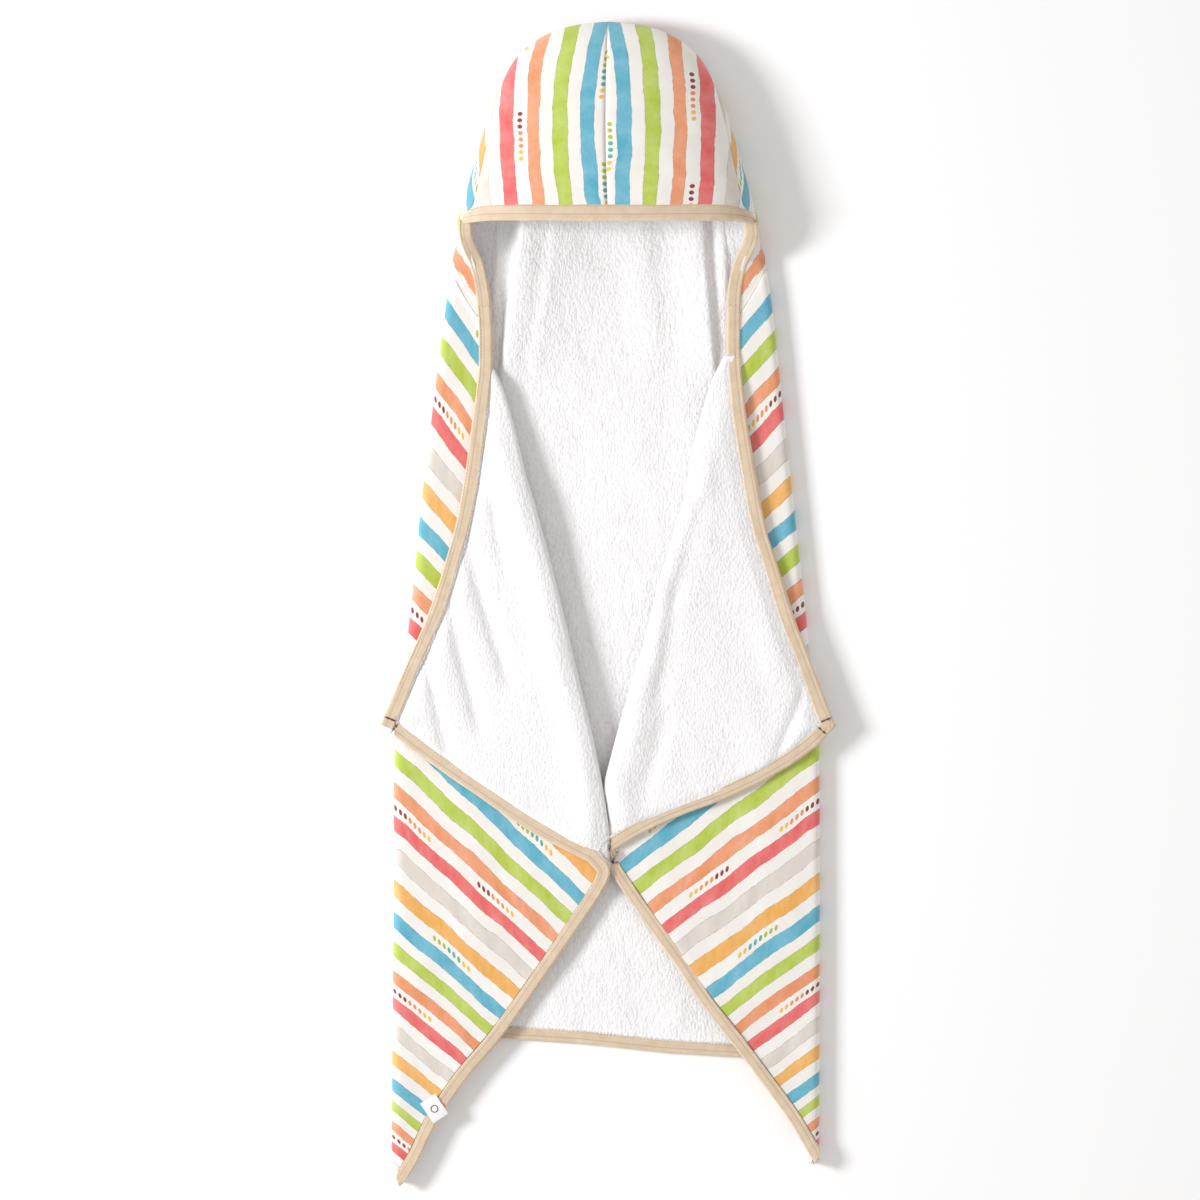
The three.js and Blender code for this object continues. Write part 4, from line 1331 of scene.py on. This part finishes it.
def add_tacks(name, sign, lines):
    """Dense zigzags of dark thread across the bindings, beside the lapel's corner."""
    tacks = []
    for key, at_end, inset in TACKS:
        line = resample(lines[key], 1.0)
        line = (line[::-1] if at_end else line) * [sign, 1]
        at = line[inset]
        direction = line[inset + 4] - line[inset - 4]
        direction /= np.linalg.norm(direction)
        across = np.array([-direction[1], direction[0]])
        if np.dot(across, np.array([0.0, 0.0]) - at * [1, 0]) < 0:
            across = -across
        share = np.linspace(0.06, 0.94, TACK_ZIGZAGS)
        swing = np.where(np.arange(TACK_ZIGZAGS) % 2, TACK_SWING, -TACK_SWING)
        flat = at + across * (share * BINDING_WIDTH)[:, None] + direction * swing[:, None]
        crown = BINDING_HALF_THICKNESS * np.sqrt(np.clip(1 - (2 * share - 1) ** 4, 0, 1))
        path = np.column_stack([flat, LAPEL_TERRY_HEIGHT + 0.7 + crown])
        sides = np.tile([direction[0], direction[1], 0.0], (TACK_ZIGZAGS, 1))
        up = np.tile([0.0, 0.0, 1.0], (TACK_ZIGZAGS, 1))
        tacks.append(tape(f"{name}_{key}_tack", path, sides, up, 0.9, 0.4, DARK_THREAD, 40, around=6))
    for tack in tacks:
        follow_flap(tack, name)
    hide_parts(f"{name}_corner_tack")


def build_hood():
    back, back_cut = hood_back("hood_back_print", *PRINT_PLY)
    inside, inside_cut = hood_back("hood_back_terry", *TERRY_PLY)
    lay(back, follow_hood, ["hood_back_shell"])
    lay(inside, follow_hood, ["hood_back_lining"])
    for name, side in SIDES.items():
        sign = side["sign"]
        shell, shell_cut = hood_front(f"hood_front_print_{name}", sign, *PRINT_PLY)
        lining, lining_cut = hood_front(f"hood_front_terry_{name}", sign, *TERRY_PLY)
        lay(shell, on_hood, [f"hood_front_shell_{name}"])
        lay(lining, on_hood, [f"hood_front_lining_{name}"])
    band, thread = add_brim()
    put([(band, "binding"), (thread, "thread")], on_hood, ["brim_binding"])


def add_label():
    """A folded satin tag on the left front's binding, with a plain ring as its mark."""
    centre = np.array(LABEL_CENTRE)
    lean = math.radians(LABEL_LEAN)
    long_way = np.array([math.cos(lean + math.pi / 2), math.sin(lean + math.pi / 2)])
    wide_way = np.array([math.cos(lean), math.sin(lean)])
    across = np.linspace(-LABEL_WIDTH / 2, LABEL_WIDTH / 2, 22)
    along = np.linspace(-LABEL_LENGTH / 2, LABEL_LENGTH / 2, 26)
    u, v = np.meshgrid(across, along, indexing="ij")
    flat = centre + u[..., None] * long_way + v[..., None] * wide_way
    bulge = 1.3 * np.sin((v + LABEL_LENGTH / 2) / LABEL_LENGTH * math.pi)
    z = LABEL_HEIGHT + bulge + 0.25 * noise(u, v, 9, 61)
    grid = np.dstack([flat, z])
    tag = cloth("folded_label", grid, 0.8, SATIN)
    angle = np.linspace(0, 2 * math.pi, 40)
    outward = np.outer(np.cos(angle), long_way) + np.outer(np.sin(angle), wide_way)
    path = np.column_stack([centre + outward * RING_RADIUS, np.full(40, RING_HEIGHT)])
    outward = np.column_stack([outward, np.zeros(40)])
    normal = np.tile([0.0, 0.0, 1.0], (40, 1))
    mark = tape("label_ring", path, outward, normal, 0.9, 0.3, DARK_THREAD, 62, around=6)
    for piece in (tag, mark):
        follow_flap(piece, "left")
    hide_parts("woven_label")


def build_stage():
    bpy.ops.mesh.primitive_plane_add(size=12, location=(0, 0, -0.001))
    floor = bpy.context.object
    floor.name = "studio_floor"
    material = bpy.data.materials.new("floor")
    material.use_nodes = True
    shader = material.node_tree.nodes["Principled BSDF"]
    shader.inputs["Base Color"].default_value = (0.93, 0.93, 0.93, 1)
    shader.inputs["Roughness"].default_value = 0.9
    floor.data.materials.append(material)
    world = bpy.data.worlds.new("studio")
    bpy.context.scene.world = world
    world.use_nodes = True
    world.node_tree.nodes["Background"].inputs["Color"].default_value = WORLD_COLOUR
    world.node_tree.nodes["Background"].inputs["Strength"].default_value = WORLD_STRENGTH
    for name, (place, size, power) in LAMPS.items():
        light = bpy.data.lights.new(name, "AREA")
        light.size = size
        light.energy = power
        light.color = LAMP_COLOUR
        lamp = bpy.data.objects.new(name, light)
        lamp.location = place
        lamp.rotation_euler = (Vector((0, 0, 0)) - Vector(place)).to_track_quat("-Z", "Y").to_euler()
        bpy.context.scene.collection.objects.link(lamp)


def build_camera():
    camera = bpy.data.cameras.new("camera")
    camera.sensor_width = 36
    camera.lens = camera.sensor_width * CAMERA_PLACE[2] / WIDTH_SEEN
    obj = bpy.data.objects.new("camera", camera)
    obj.location = CAMERA_PLACE
    bpy.context.scene.collection.objects.link(obj)
    bpy.context.scene.camera = obj
    bpy.context.scene.view_settings.view_transform = "Standard"


build_camera()
build_stage()
build_back()
for side_name in SIDES:
    build_side(side_name)
build_hood()
add_label()

bpy.context.view_layer.update()
